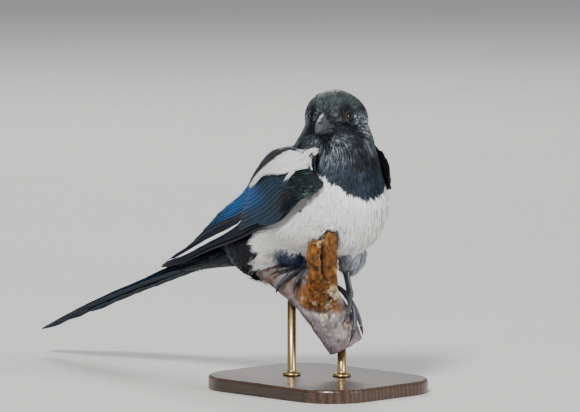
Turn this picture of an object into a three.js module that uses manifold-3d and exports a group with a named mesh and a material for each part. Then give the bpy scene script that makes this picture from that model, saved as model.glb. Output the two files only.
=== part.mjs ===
// Eurasian magpie, life size, perched on a short cut branch that a plain display stand holds.
// Millimetres, +Z up. The bird faces +X with its left side at +Y, and its head is turned to its right.
// The origin is the centre of the underside of the stand's base.

import * as THREE from 'three';
import { mergeVertices } from 'three/addons/utils/BufferGeometryUtils.js';
import Module from 'manifold-3d';

const wasm = await Module();
wasm.setup();

// Driving sizes. Places on the bird are measured from the point midway between its feet.
const GAP = 0.35; // clearance between pieces that meet
const PERCH_HEIGHT = 78; // floor to the point midway between the feet
const TAIL_LENGTH = 240;
const TAIL_SLOPE = THREE.MathUtils.degToRad(19);
const HEAD_PLACE = new THREE.Vector3(18.4, -3, 122.5);
const HEAD_YAW = THREE.MathUtils.degToRad(-59); // turned to the bird's right
const HEAD_PITCH = THREE.MathUtils.degToRad(-2); // bill just above level
const HEAD_ROLL = THREE.MathUtils.degToRad(2);
const BILL_LENGTH = 31; // from the front of the head's feathers to the tip
const EYE_RADIUS = 4.9;
const TARSUS_RADIUS = 2.1;
const TOE_RADIUS = 2.0;
const BASE_SIZE = new THREE.Vector3(150, 120, 10);
const ROD_RADIUS = 3.2;

const UP = new THREE.Vector3(0, 0, 1);
const vec = (x, y, z) => new THREE.Vector3(x, y, z);
const mix = THREE.MathUtils.lerp;

// Closed solids

function bodyOf(geometry) {
  const bare = geometry.clone();
  for (const extra of ['normal', 'uv']) bare.deleteAttribute(extra);
  const merged = mergeVertices(bare, 1e-4);
  const place = merged.attributes.position;
  const corners = [];
  let volume = 0;
  const [a, b, c] = [vec(), vec(), vec()];
  for (let i = 0; i < merged.index.count; i += 3) {
    const ids = [0, 1, 2].map((k) => merged.index.getX(i + k));
    if (new Set(ids).size < 3) continue;
    corners.push(...ids);
    a.fromBufferAttribute(place, ids[0]);
    b.fromBufferAttribute(place, ids[1]);
    c.fromBufferAttribute(place, ids[2]);
    volume += a.dot(b.cross(c));
  }
  if (volume < 0) corners.reverse(); // faces point outwards
  return new wasm.Manifold(new wasm.Mesh({
    numProp: 3,
    vertProperties: Float32Array.from(place.array),
    triVerts: Uint32Array.from(corners),
  }));
}

function largest(body) {
  return body.decompose().reduce((best, piece) => (piece.volume() > best.volume() ? piece : best));
}

function joined(bodies) {
  return bodies.reduce((whole, body) => whole.add(body));
}

function geometryOf(body) {
  const mesh = body.getMesh();
  const geometry = new THREE.BufferGeometry();
  geometry.setAttribute('position', new THREE.BufferAttribute(Float32Array.from(mesh.vertProperties), 3));
  geometry.setIndex(new THREE.BufferAttribute(Uint32Array.from(mesh.triVerts), 1));
  geometry.computeVertexNormals();
  return geometry;
}

// A warped cylinder: place(t, angle) gives its wall, with t from 0 to 1 along it.
function tube(sides, steps, place) {
  const geometry = new THREE.CylinderGeometry(1, 1, 1, sides, steps);
  const spots = geometry.attributes.position;
  for (let i = 0; i < spots.count; i++) {
    const [x, y, z] = [spots.getX(i), spots.getY(i), spots.getZ(i)];
    const t = y + 0.5;
    const onWall = Math.hypot(x, z) > 0.5;
    const spot = onWall
      ? place(t, Math.atan2(x, z))
      : place(t, 0).add(place(t, Math.PI)).multiplyScalar(0.5);
    spots.setXYZ(i, spot.x, spot.y, spot.z);
  }
  return bodyOf(geometry);
}

// A tube along a curve, round or oval, with its radius given along it.
function rod(curve, sides, steps, radius, flatten = 1, up = UP) {
  return tube(sides, steps, (t, angle) => {
    const along = curve.getTangent(t);
    const side = vec().crossVectors(up, along).normalize();
    const top = vec().crossVectors(along, side);
    return curve.getPoint(t)
      .addScaledVector(side, Math.sin(angle) * radius(t))
      .addScaledVector(top, Math.cos(angle) * radius(t) * flatten);
  });
}

// A thin closed plate: place(u, v, side) with u across from -1 to 1, v along from 0 to 1, and side 1 on
// its upper face and -1 on its lower one. Both faces are split into the same triangles.
function plate(across, along, place) {
  const flat = new THREE.PlaneGeometry(2, 1, across, along);
  const grid = flat.attributes.position;
  const points = [];
  for (const side of [1, -1]) {
    for (let i = 0; i < grid.count; i++) {
      points.push(...place(grid.getX(i), 0.5 - grid.getY(i), side).toArray());
    }
  }
  const upper = Array.from(flat.index.array);
  const lower = upper.map((i) => i + grid.count).reverse();
  const spot = (column, row) => row * (across + 1) + column;
  const rim = [];
  for (let i = 0; i < across; i++) rim.push(spot(i, 0));
  for (let i = 0; i < along; i++) rim.push(spot(across, i));
  for (let i = across; i > 0; i--) rim.push(spot(i, along));
  for (let i = along; i > 0; i--) rim.push(spot(0, i));
  const edge = rim.flatMap((p, i) => {
    const q = rim[(i + 1) % rim.length];
    return [p, q, q + grid.count, p, q + grid.count, p + grid.count];
  });
  const geometry = new THREE.BufferGeometry();
  geometry.setAttribute('position', new THREE.Float32BufferAttribute(points, 3));
  geometry.setIndex([...upper, ...lower, ...edge]);
  return bodyOf(geometry);
}

// A ball whose points are set by place(direction).
function ball(sides, rings, place) {
  const geometry = new THREE.SphereGeometry(1, sides, rings);
  const spots = geometry.attributes.position;
  for (let i = 0; i < spots.count; i++) {
    const spot = place(vec().fromBufferAttribute(spots, i));
    spots.setXYZ(i, spot.x, spot.y, spot.z);
  }
  return bodyOf(geometry);
}

function box(size, place, turn = new THREE.Quaternion()) {
  const geometry = new THREE.BoxGeometry(size.x, size.y, size.z);
  geometry.applyQuaternion(turn);
  geometry.translate(place.x, place.y, place.z);
  return bodyOf(geometry);
}

// Everything on the far side of a plane, as a block large enough to cut any piece.
function halfSpace(point, normal) {
  const size = 400;
  const turn = new THREE.Quaternion().setFromUnitVectors(UP, normal);
  return box(vec(size, size, size), point.clone().addScaledVector(normal, size / 2), turn);
}

// Trunk: head end to tail root, as stations of a back point and a front point (x, z) and a half width
const TRUNK = [
  { name: 'nape', back: [-2.5, 128], front: [43, 122], half: 21.5 },
  { name: 'throat', back: [-7, 116], front: [48.5, 108], half: 26.5 },
  { name: 'collar', back: [-14, 106], front: [50.5, 94], half: 32 },
  { name: 'shoulder', back: [-27, 96], front: [53, 76], half: 40 },
  { name: 'breast', back: [-40, 84], front: [57, 54], half: 44.5 },
  { name: 'belly', back: [-52, 69], front: [42, 29], half: 44 },
  { name: 'flank', back: [-62, 57], front: [12, 26], half: 40.5 },
  { name: 'thigh', back: [-71, 48], front: [-18, 9], half: 37 },
  { name: 'vent', back: [-79, 40], front: [-41, -3], half: 31 },
  { name: 'rump', back: [-86, 32], front: [-76, 9], half: 17 },
];

const trunkBack = new THREE.CatmullRomCurve3(TRUNK.map((s) => vec(s.back[0], s.half, s.back[1])));
const trunkFront = new THREE.CatmullRomCurve3(TRUNK.map((s) => vec(s.front[0], s.half, s.front[1])));

function trunkBody(grow = 0) {
  return tube(26, 19, (t, angle) => {
    const back = trunkBack.getPoint(t);
    const front = trunkFront.getPoint(t);
    const half = back.y + grow;
    back.y = front.y = 0;
    const reach = front.clone().sub(back).multiplyScalar(0.5);
    const centre = back.add(reach);
    reach.setLength(reach.length() + grow);
    return centre
      .addScaledVector(reach, Math.cos(angle))
      .addScaledVector(vec(0, 1, 0), Math.sin(angle) * half);
  });
}

// A level cut across the trunk through a point (x, z) on its back and one on its front.
function cutThrough(back, front) {
  const across = vec(front[0] - back[0], 0, front[1] - back[1]).normalize();
  const normal = vec().crossVectors(across, vec(0, 1, 0));
  return { point: vec(back[0], 0, back[1]), normal };
}

// Head: stations along its own forward axis, with half width and the heights of crown and chin
const HEAD = [
  { name: 'bill root', forward: 26, half: 3.8, top: 7.6, bottom: -5.4 },
  { name: 'face', forward: 21, half: 7.6, top: 11.4, bottom: -9.2 },
  { name: 'lores', forward: 16, half: 12.4, top: 15.8, bottom: -12.6 },
  { name: 'eyes', forward: 9, half: 17.4, top: 20.6, bottom: -15.5 },
  { name: 'crown', forward: -4, half: 23, top: 24.6, bottom: -18 },
  { name: 'ears', forward: -16, half: 24, top: 20.5, bottom: -18 },
  { name: 'hindhead', forward: -26, half: 16.5, top: 11, bottom: -12 },
  { name: 'nape', forward: -31.5, half: 3, top: 1, bottom: -4 },
];

const headForward = vec(
  Math.cos(HEAD_YAW) * Math.cos(HEAD_PITCH),
  Math.sin(HEAD_YAW) * Math.cos(HEAD_PITCH),
  -Math.sin(HEAD_PITCH),
);
const headLeft = vec().crossVectors(UP, headForward).normalize()
  .applyAxisAngle(headForward, HEAD_ROLL);
const headUp = vec().crossVectors(headForward, headLeft);

// A place on the head from its forward, left and up distances.
function onHead(forward, left, up) {
  return HEAD_PLACE.clone()
    .addScaledVector(headForward, forward)
    .addScaledVector(headLeft, left)
    .addScaledVector(headUp, up);
}

function headDirection(forward, left, up) {
  return onHead(forward, left, up).sub(HEAD_PLACE).normalize();
}

function headBody() {
  const top = new THREE.CatmullRomCurve3(HEAD.map((s) => vec(s.forward, s.half, s.top)));
  const bottom = new THREE.CatmullRomCurve3(HEAD.map((s) => vec(s.forward, s.half, s.bottom)));
  return tube(22, 12, (t, angle) => {
    const high = top.getPoint(t);
    const low = bottom.getPoint(t);
    const middle = (high.z + low.z) / 2;
    const tall = (high.z - low.z) / 2;
    return onHead(high.x, Math.sin(angle) * high.y, middle + Math.cos(angle) * tall);
  });
}

// Bill: both halves start inside the face, so that the corner of the mouth shows on the cheek
const BILL_ROOT = 12; // forward place of the corner of the mouth
const BILL_TIP = BILL_ROOT + BILL_LENGTH + 9;
const MOUTH_LINE = -3.6;

const UPPER_BILL = [
  { forward: BILL_ROOT, half: 8.8, edge: -4.6, ridge: 7.6 },
  { forward: 22, half: 6.8, edge: MOUTH_LINE, ridge: 8.2 },
  { forward: 32, half: 5.2, edge: MOUTH_LINE + 0.5, ridge: 7.0 },
  { forward: 42, half: 3.5, edge: MOUTH_LINE - 0.1, ridge: 3.4 },
  { forward: 49, half: 1.7, edge: MOUTH_LINE - 1.1, ridge: -1.6 },
  { forward: BILL_TIP, half: 0.5, edge: MOUTH_LINE - 2.2, ridge: -5.0 },
];

const LOWER_BILL = [
  { forward: BILL_ROOT, half: 8.4, edge: -4.6, ridge: -8.6 },
  { forward: 22, half: 6.4, edge: MOUTH_LINE, ridge: -8.0 },
  { forward: 32, half: 4.6, edge: MOUTH_LINE + 0.5, ridge: -7.3 },
  { forward: 42, half: 2.7, edge: MOUTH_LINE - 0.1, ridge: -6.5 },
  { forward: 49.4, half: 0.6, edge: MOUTH_LINE - 1.2, ridge: -5.5 },
];

// The surface of half a bill, between its cutting edge and its ridge: a function of t from root to tip, the
// angle from the ridge, and how far outside the half it lies.
function billSurface(stations) {
  const line = (key) => new THREE.CatmullRomCurve3(
    stations.map((s) => vec(s.forward, s.half, s[key])),
  );
  const [edges, ridges] = [line('edge'), line('ridge')];
  return (t, angle, grow) => {
    const edge = edges.getPoint(t);
    const ridge = ridges.getPoint(t);
    const away = Math.sign(ridge.z - edge.z);
    const half = edge.y + grow;
    const flat = edge.z + away * (GAP / 2 - grow);
    const peak = ridge.z + away * grow;
    const rise = Math.max(0, Math.cos(angle));
    const inward = Math.cos(angle) < 0 ? 1 + 0.12 * Math.cos(angle) : 1;
    const up = mix(flat, peak, rise ** 0.85);
    return onHead(edge.x + grow * (2 * t - 1), Math.sin(angle) * half * inward, up);
  };
}

function billBody(stations, grow = 0) {
  const surface = billSurface(stations);
  return tube(12, 8, (t, angle) => surface(t, angle, grow));
}

// Bristles that lie forward from the face over the nostrils, three slips on each side of the upper bill
const BRISTLES = { from: 0.1, spread: 0.2, lift: 0.45, thick: 0.7 };
const BRISTLE_ROWS = [
  { turn: 0.22, to: 0.42 },
  { turn: 0.66, to: 0.5 },
  { turn: 1.1, to: 0.46 },
];

function bristlesBody(side) {
  const surface = billSurface(UPPER_BILL);
  return joined(BRISTLE_ROWS.map((row) => plate(1, 3, (u, v, face) => {
    const t = mix(BRISTLES.from, row.to, v);
    const angle = side * (row.turn + u * BRISTLES.spread * mix(1, 0.25, v));
    const thick = face > 0 ? BRISTLES.thick * mix(1, 0.6, v) : 0;
    return surface(t, angle, BRISTLES.lift + thick);
  })));
}

// Eyes
const EYE_SPOT = { forward: 9.8, left: 11.9, up: 4.2 };
const EYE_AXIS = { forward: 0.38, left: 0.92, up: 0.08 };

function eyePlace(side) {
  return onHead(EYE_SPOT.forward, side * EYE_SPOT.left, EYE_SPOT.up);
}

function eyeAxis(side) {
  return headDirection(EYE_AXIS.forward, side * EYE_AXIS.left, EYE_AXIS.up);
}

function eyeBody(side, grow = 0) {
  const turn = new THREE.Quaternion().setFromUnitVectors(vec(0, 1, 0), eyeAxis(side));
  return ball(16, 9, (direction) => direction
    .applyQuaternion(turn)
    .multiplyScalar(EYE_RADIUS + grow)
    .add(eyePlace(side)));
}

// The rim of the two lids, a low ring round the eye's opening.
function lidBody(side) {
  const rim = new THREE.TorusGeometry(3.9, 0.85, 5, 16);
  rim.applyQuaternion(new THREE.Quaternion().setFromUnitVectors(UP, eyeAxis(side)));
  const centre = eyePlace(side).addScaledVector(eyeAxis(side), 3.5);
  rim.translate(centre.x, centre.y, centre.z);
  return bodyOf(rim);
}

// Branch: it falls steeply from behind the bird to its left, swollen under the feet, with a broken stub
const BRANCH = [
  { name: 'upper end', axis: [-53, -16, 18.5], radius: 10.5 },
  { name: 'under the vent', axis: [-31, -12.5, 9.2], radius: 12 },
  { name: 'right foot', axis: [-5, -7.5, -5.5], radius: 14 },
  { name: 'burl', axis: [2.5, -0.5, -14], radius: 16.2 },
  { name: 'left foot', axis: [8.5, 5.5, -25], radius: 16.6 },
  { name: 'lower end', axis: [16, 13.5, -46], radius: 14 },
];
const branchLine = new THREE.CatmullRomCurve3(BRANCH.map((s) => vec(...s.axis)));
const branchGirth = new THREE.CatmullRomCurve3(BRANCH.map((s) => vec(s.radius, 0, 0)));
const BRANCH_LENGTH = branchLine.getLength();

// A place near the branch, at a share of its length, turned by an angle from its upper side towards the
// bird's right, at a distance from its bark.
function onBranch(share, turn, distance) {
  const t = branchLine.getUtoTmapping(share);
  const along = branchLine.getTangent(t);
  const front = vec().crossVectors(along, UP).normalize();
  const top = vec().crossVectors(front, along);
  const reach = branchGirth.getPoint(t).x + distance;
  return branchLine.getPoint(t)
    .addScaledVector(front, Math.sin(turn) * reach)
    .addScaledVector(top, Math.cos(turn) * reach);
}

function branchBody(grow = 0) {
  return tube(15, 11, (t, angle) => onBranch(t, angle, grow));
}

// Towards the photograph's side of the bird, where the stub leans
const NEAR = vec(Math.SQRT1_2, -Math.SQRT1_2, 0);
const RIGHTWARD = vec(Math.SQRT1_2, Math.SQRT1_2, 0);

function stubPoint(rightward, near, up) {
  return vec(0, 0, up).addScaledVector(RIGHTWARD, rightward).addScaledVector(NEAR, near);
}

const STUB = {
  tall: [stubPoint(3, 2, -15), stubPoint(4, 20, 0), stubPoint(6, 36, 20), stubPoint(10, 46, 46)],
  short: [stubPoint(1, 16, -8), stubPoint(0, 33, 10), stubPoint(-2, 42, 25), stubPoint(-2.5, 45.5, 38)],
};

function stubBody(grow = 0) {
  const tallRadius = (t) => mix(13, 6, t ** 1.3) + grow;
  const shortRadius = (t) => mix(10, 6.2, t) + grow;
  const tall = rod(new THREE.CatmullRomCurve3(STUB.tall), 12, 7, tallRadius, 0.85, NEAR);
  const short = rod(new THREE.CatmullRomCurve3(STUB.short), 10, 5, shortRadius, 0.9, NEAR);
  return tall.add(short);
}

// Legs and feet. side is 1 on the bird's left.
const TOE_TRACK = TOE_RADIUS + 0.8; // distance of a toe's axis from the bark
const TOE_SIDE = vec(0.7, 0.6, -0.39); // any direction that no toe follows
const TOES = [
  { name: 'inner', heading: 24, length: 19, claw: 8, radius: 0.95 },
  { name: 'middle', heading: 0, length: 26, claw: 9, radius: 1.05 },
  { name: 'outer', heading: -24, length: 20, claw: 7.5, radius: 0.9 },
  { name: 'hind', heading: 180, length: 15, claw: 11, radius: 1.05 },
];
// Where each foot holds the branch, and its heading in degrees from across the branch to down along it
const FEET = {
  right: {
    share: 0.43, turn: 0, heading: -10,
    ankle: vec(-8, -14, 18), knee: vec(-5, -21, 28), hip: vec(-9, -19, 39),
  },
  left: {
    share: 0.72, turn: 0, heading: 48,
    ankle: vec(13.5, 16, 8), knee: vec(12, 24, 22), hip: vec(8, 22, 37),
  },
};

function footOf(side) {
  return side > 0 ? FEET.left : FEET.right;
}

// A toe's axis on the bark, from one distance to another from the foot's pad.
function toeLine(side, toe, from, to) {
  const foot = footOf(side);
  const heading = THREE.MathUtils.degToRad(foot.heading - side * toe.heading);
  const points = [];
  const steps = 8;
  for (let i = 0; i <= steps; i++) {
    const walk = mix(from, to, i / steps);
    const share = foot.share + walk * Math.sin(heading) / BRANCH_LENGTH;
    const t = branchLine.getUtoTmapping(share);
    const turn = foot.turn + walk * Math.cos(heading) / (branchGirth.getPoint(t).x + TOE_TRACK);
    points.push(onBranch(share, turn, TOE_TRACK));
  }
  return new THREE.CatmullRomCurve3(points);
}

function toeBody(side, toe, grow = 0) {
  const line = toeLine(side, toe, 0, toe.length);
  return rod(line, 7, 5, (t) => TOE_RADIUS * toe.radius * mix(1.12, 0.82, t) + grow, 1, TOE_SIDE);
}

function clawBody(side, toe) {
  const line = toeLine(side, toe, toe.length + GAP, toe.length + toe.claw);
  return rod(line, 6, 4, (t) => TOE_RADIUS * toe.radius * mix(0.78, 0.16, t ** 1.2), 1, TOE_SIDE);
}

// The pad over the branch's top that the toes grow from.
function padBody(side, grow = 0) {
  const foot = footOf(side);
  const centre = onBranch(foot.share, foot.turn, TOE_TRACK + 0.6);
  return ball(10, 6, (direction) => vec(4.2, 3.2, 2.4).addScalar(grow).multiply(direction).add(centre));
}

function footBody(side, grow = 0) {
  return joined([padBody(side, grow), ...TOES.map((toe) => toeBody(side, toe, grow))]);
}

function footTop(side) {
  const foot = footOf(side);
  return onBranch(foot.share, foot.turn, TOE_TRACK + 2.2);
}

function shankBody(side, grow = 0) {
  const ankle = footOf(side).ankle.clone().add(vec(0, 0, 1.2 + grow));
  const line = new THREE.LineCurve3(footTop(side).add(vec(0, 0, -grow)), ankle);
  return rod(line, 9, 3, (t) => TARSUS_RADIUS * (1 + 0.25 * Math.abs(2 * t - 1)) + grow, 1.15, vec(1, 0, 0));
}

function thighBody(side, grow = 0) {
  const { ankle, knee, hip } = footOf(side);
  const low = ankle.clone().add(vec(0, 0, GAP - grow));
  const line = new THREE.CatmullRomCurve3([low, knee, hip]);
  const girth = new THREE.CatmullRomCurve3([vec(5, 0, 0), vec(11, 0, 0), vec(5, 0, 0)]);
  return rod(line, 12, 6, (t) => girth.getPoint(t).x + grow, 1, vec(1, 0, 0));
}

// Tail: a straight line back from its root, drooping slightly at the tip
const TAIL_ROOT = vec(-82, 0, 20.5);
const TAIL_DROOP = 5;
const TAIL_HIDDEN = 12; // length of the roots inside the rump
const tailBack = vec(-Math.cos(TAIL_SLOPE), 0, -Math.sin(TAIL_SLOPE));
const tailUp = vec(-Math.sin(TAIL_SLOPE), 0, Math.cos(TAIL_SLOPE));
const TAIL_SPAN = TAIL_LENGTH - TAIL_HIDDEN; // from the rump's rear face to the tip

function onTail(distance, left, up) {
  const droop = TAIL_DROOP * (distance / TAIL_SPAN) ** 2;
  return TAIL_ROOT.clone()
    .addScaledVector(tailBack, distance)
    .addScaledVector(tailUp, up - droop)
    .add(vec(0, left, 0));
}

// Tail feathers, by pairs from the middle outwards: the longest pair lies on top, and each outer one is
// shorter and lies lower. Only the first two pairs reach over the middle line.
const TAIL_PAIRS = [
  { length: TAIL_LENGTH, half: 11, apart: 1.5 },
  { length: 219, half: 10.5, apart: 5 },
  { length: 197, half: 10, apart: 10.3 },
  { length: 175, half: 9.5, apart: 11 },
  { length: 153, half: 9, apart: 11.8 },
  { length: 132, half: 8.5, apart: 12.5 },
];
const TAIL_STEP = 0.86; // from one feather down to the next
// Coverts over and under the tail's base: one in the middle and one at each side of it
const TAIL_COVERTS = [
  { rise: [8, 1.6], tips: [84, 70, 70], half: 8 },
  { rise: [-9.6, -8.6], tips: [92, 80, 80], half: 8.5 },
];
const COVERT_PLACES = [0, 8, -8]; // to the left of the middle line
const COVERT_SLANT = 0.1; // how far an outer covert sinks for its distance out

function tailBody() {
  const sleeve = tube(14, 4, (t, angle) => {
    const thick = mix(11.5, 3.2, t ** 0.8);
    const half = mix(15.5, 16, t);
    return onTail(GAP + t * 58, Math.sin(angle) * half, Math.cos(angle) * thick - 1.4);
  });
  const feathers = [];
  let level = 0;
  for (const { length, half, apart } of TAIL_PAIRS) {
    const crossesMiddle = half > apart;
    for (const side of [1, -1]) {
      const rise = [level * TAIL_STEP, level * TAIL_STEP];
      const root = [26, side * apart * 0.5];
      const tip = [length - TAIL_HIDDEN, side * apart];
      feathers.push(vane(onTail, { root, tip, half, rise, lean: 0, dip: 0 }));
      if (crossesMiddle || side < 0) level -= 1;
    }
  }
  for (const { rise, tips, half } of TAIL_COVERTS) {
    tips.forEach((reach, i) => {
      const left = COVERT_PLACES[i];
      const sunk = Math.sign(rise[0]) * Math.abs(left) * COVERT_SLANT;
      const place = { root: [5, left * 0.8], tip: [reach, left], rise: rise.map((r) => r - sunk) };
      feathers.push(vane(onTail, { ...place, half, lean: 0, dip: 0 }));
    });
  }
  return largest(joined([sleeve, ...feathers]));
}

// Folded wing on the bird's right: a sheet between an upper and a lower edge, bulging outwards
const WING_UPPER = [
  [27, -22, 98], [4, -19, 99], [-24, -15, 92], [-46, -12, 79], [-62, -10, 64], [-90, -9, 47],
  [-117, -11, 22], [-146, -17.5, 3],
];
const WING_LOWER = [
  [33, -30, 82], [30, -36, 74], [22, -43, 64.5], [7, -45, 50.5], [-15, -44, 43], [-42, -40, 32.5],
  [-80, -33, 21.5], [-116, -26, 9.5], [-148, -19.5, 1.5],
];
const curveOf = (places) => new THREE.CatmullRomCurve3(places.map((p) => vec(...p)));
const [wingUpper, wingLower] = [curveOf(WING_UPPER), curveOf(WING_LOWER)];

const WING_BULGE = { front: 7.5, tip: 1 };
const WING_LIFT = { front: -5, rear: -1.5 }; // of the sheet over the trunk's side

// Half the trunk's width at a height z over the point x of its length, or 0 outside it.
function trunkHalf(x, z) {
  let [low, high] = [0, 1];
  for (let i = 0; i < 18; i++) {
    const t = (low + high) / 2;
    const back = trunkBack.getPoint(t);
    const front = trunkFront.getPoint(t);
    const over = (front.x - back.x) * (z - back.z) - (front.z - back.z) * (x - back.x);
    if (over > 0) high = t;
    else low = t;
  }
  const back = trunkBack.getPoint(low);
  const front = trunkFront.getPoint(low);
  const [reachX, reachZ] = [front.x - back.x, front.z - back.z];
  const share = ((x - back.x) * reachX + (z - back.z) * reachZ) / (reachX ** 2 + reachZ ** 2);
  return back.y * Math.sqrt(Math.max(0, 1 - (2 * share - 1) ** 2));
}

// A place on the wing's sheet, at its share s of the way to the tip and c of the way from the upper edge
// to the lower one. Where the ruled sheet would cut into the trunk, it lies on the trunk's side instead.
function wingSheet(s, c) {
  const upper = wingUpper.getPoint(s);
  const lower = wingLower.getPoint(s);
  const along = wingUpper.getTangent(s).add(wingLower.getTangent(s));
  const out = vec().crossVectors(along, lower.clone().sub(upper)).normalize();
  const bulge = mix(WING_BULGE.front, WING_BULGE.tip, s);
  const spot = upper.lerp(lower, c).addScaledVector(out, bulge * 4 * c * (1 - c));
  const lift = mix(WING_LIFT.front, WING_LIFT.rear, Math.min(1, s * 2.2));
  const half = trunkHalf(spot.x, spot.z);
  if (half > 0) spot.y = Math.min(spot.y, -half - lift);
  return spot;
}

function onWing(s, c, height) {
  const step = 0.01;
  const ahead = wingSheet(Math.min(1, s + step), c).sub(wingSheet(Math.max(0, s - step), c));
  const aside = wingSheet(s, c + step).sub(wingSheet(s, c - step));
  return wingSheet(s, c).addScaledVector(vec().crossVectors(ahead, aside).normalize(), height);
}

// The height of the lowest tier of feathers over the sheet, and of the wing's core under it.
function wingBase(s) {
  return mix(WING_CORE.shoulder, WING_CORE.end, Math.min(1, s / WING_CORE.reach));
}

function wingCore(s, c) {
  const rim = 1 - Math.abs(2 * c - 1) ** 5 * 0.7;
  return wingBase(s) * rim * Math.min(1, 0.3 + s * 8);
}

function wingCoreBody() {
  return plate(5, 7, (u, v, side) => {
    const [s, c] = [mix(WING_CORE.front, WING_CORE.reach, v), (1 + u) / 2];
    return onWing(s, c, side > 0 ? wingCore(s, c) : -WING_CORE.sunk);
  });
}

// One feather as a thin plate over a sheet. chart(s, c, height) places a point on the sheet. The feather
// runs from its root to its tip, both as (s, c), rising from one height to another, with its root sunk by
// the dip, and leans so that its edge towards larger c lies on its neighbour.
const VANE_ROWS = [
  { at: 0, width: 0.5 }, { at: 0.45, width: 0.95 }, { at: 0.86, width: 0.85 }, { at: 1, width: 0.22 },
];
const VANE_EDGE = 0.55; // thickness at the edges
const VANE_SHAFT = 0.95; // thickness along the middle
const VANE_TIP = 0.6; // share of that thickness left at the tip

function vane(chart, { root, tip, half, rise, lean, dip }) {
  const rows = VANE_ROWS.length - 1;
  const spine = (t) => [mix(root[0], tip[0], t), mix(root[1], tip[1], t)];
  return plate(2, rows, (u, v, side) => {
    const row = VANE_ROWS[Math.round(v * rows)];
    const [s, c] = spine(row.at);
    const centre = chart(s, c, 0);
    const along = chart(...spine(row.at + 0.03), 0).sub(chart(...spine(row.at - 0.03), 0)).normalize();
    const out = chart(s, c, 1).sub(centre);
    const across = vec().crossVectors(out, along).normalize();
    const thick = mix(VANE_SHAFT, VANE_EDGE, Math.abs(u)) * (row.at === 1 ? VANE_TIP : 1);
    const sunk = row.at === 0 ? dip : 0;
    const tilt = row.at === 0 ? 0 : lean * u * row.width;
    const height = mix(rise[0], rise[1], row.at) - sunk + tilt + side * thick / 2;
    return centre.addScaledVector(across, u * half * row.width).addScaledVector(out, height);
  });
}

// The tiers of the wing. Each row of feathers goes from the upper edge to the lower one.
const WING_CORE = { shoulder: 2.4, end: 1, front: 0.025, reach: 0.6, sunk: 2 };
const TIER_RISE = 1.3; // from one level to the next
const ROOT_DEPTH = 0.6; // of the lowest roots inside the core
const WING_TIERS = [
  { name: 'primaries', level: 0, count: 5, half: 4.2, lean: 1, pile: 1.8,
    from: { root: [0.4, 0.66], tip: [0.93, 0.36] }, to: { root: [0.34, 0.88], tip: [0.985, 0.78] } },
  { name: 'secondaries', level: 1.6, count: 7, half: 5.2, lean: 1.1, pile: 1.9,
    from: { root: [0.24, 0.16], tip: [0.56, 0.05] }, to: { root: [0.3, 0.7], tip: [0.88, 0.18] } },
  { name: 'greater coverts', level: 2.6, count: 6, half: 6.2, lean: 1, pile: 1,
    from: { root: [0.16, 0.16], tip: [0.4, 0.1] }, to: { root: [0.18, 0.78], tip: [0.43, 0.86] } },
  { name: 'median coverts', level: 3.4, count: 3, half: 7.4, lean: 0.9, pile: 0.5,
    from: { root: [0.08, 0.5], tip: [0.28, 0.5] }, to: { root: [0.08, 0.78], tip: [0.27, 0.86] } },
  { name: 'scapulars', level: 4.4, count: 3, half: 7.6, lean: 1.1, pile: 1,
    from: { root: [0.1, 0.34], tip: [0.36, 0.13] }, to: { root: [0.08, 0.5], tip: [0.26, 0.44] } },
];

function wingFeather(tier, share) {
  const between = (key) => [0, 1].map((k) => mix(tier.from[key][k], tier.to[key][k], share));
  const [root, tip] = [between('root'), between('tip')];
  const over = tier.level * TIER_RISE + tier.pile * (1 - share);
  const rise = [root, tip].map(([s]) => wingBase(s) + over);
  return vane(onWing, { ...tier, root, tip, rise, dip: over + ROOT_DEPTH });
}

// The room that a wing takes out of the body's side, a little wider than its sheet and deep enough for
// the flat facets of its feathers.
const ROOM_HEIGHT = 45;
const ROOM_DEPTH = 3;
const ROOM_WIDTH = 1.06;

function wingRoom() {
  const level = (side) => (side > 0 ? ROOM_HEIGHT : -ROOM_DEPTH);
  return plate(5, 10, (u, v, side) => onWing(v, (1 + u * ROOM_WIDTH) / 2, level(side)));
}

function wingBody() {
  const feathers = WING_TIERS.flatMap((tier) => (
    Array.from({ length: tier.count }, (_, i) => wingFeather(tier, i / (tier.count - 1)))
  ));
  return largest(joined([wingCoreBody(), ...feathers]));
}

function mirrored(body) {
  const geometry = geometryOf(body);
  geometry.scale(1, -1, 1);
  return bodyOf(geometry);
}

// Stand
function baseBody() {
  const corner = 34;
  const [halfX, halfY] = [BASE_SIZE.x / 2, BASE_SIZE.y / 2];
  const bevel = 2;
  const outline = new THREE.Shape();
  outline.moveTo(-halfX + corner, -halfY + bevel);
  for (const [x, y, from] of [[1, -1, -90], [1, 1, 0], [-1, 1, 90], [-1, -1, 180]]) {
    const start = THREE.MathUtils.degToRad(from);
    outline.absarc(x * (halfX - corner), y * (halfY - corner), corner - bevel, start, start + Math.PI / 2);
  }
  const geometry = new THREE.ExtrudeGeometry(outline, {
    depth: BASE_SIZE.z - 2 * bevel,
    bevelThickness: bevel,
    bevelSize: bevel,
    bevelSegments: 2,
    curveSegments: 4,
  });
  geometry.translate(0, 0, bevel - PERCH_HEIGHT);
  return bodyOf(geometry);
}

function standRod(t) {
  const top = branchLine.getPoint(t);
  const foot = top.clone().setZ(BASE_SIZE.z - PERCH_HEIGHT + GAP);
  return rod(new THREE.LineCurve3(foot, top), 16, 1, () => ROD_RADIUS, 1, vec(1, 0, 0))
    .subtract(branchBody(GAP));
}

// Materials
const FINISHES = {
  black: { color: 0x0b1016, roughness: 0.5 },
  white: { color: 0xf2f1ec, roughness: 0.9 },
  wing: { color: 0x10243c, roughness: 0.35 },
  tail: { color: 0x0d1a24, roughness: 0.35 },
  bill: { color: 0x1c1d1f, roughness: 0.4 },
  eye: { color: 0x120a06, roughness: 0.05 },
  leg: { color: 0x17181a, roughness: 0.5 },
  branch: { color: 0x8a7358, roughness: 0.95 },
  base: { color: 0x3a2618, roughness: 0.5 },
  rod: { color: 0x8c7440, roughness: 0.35, metalness: 1 },
};

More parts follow.
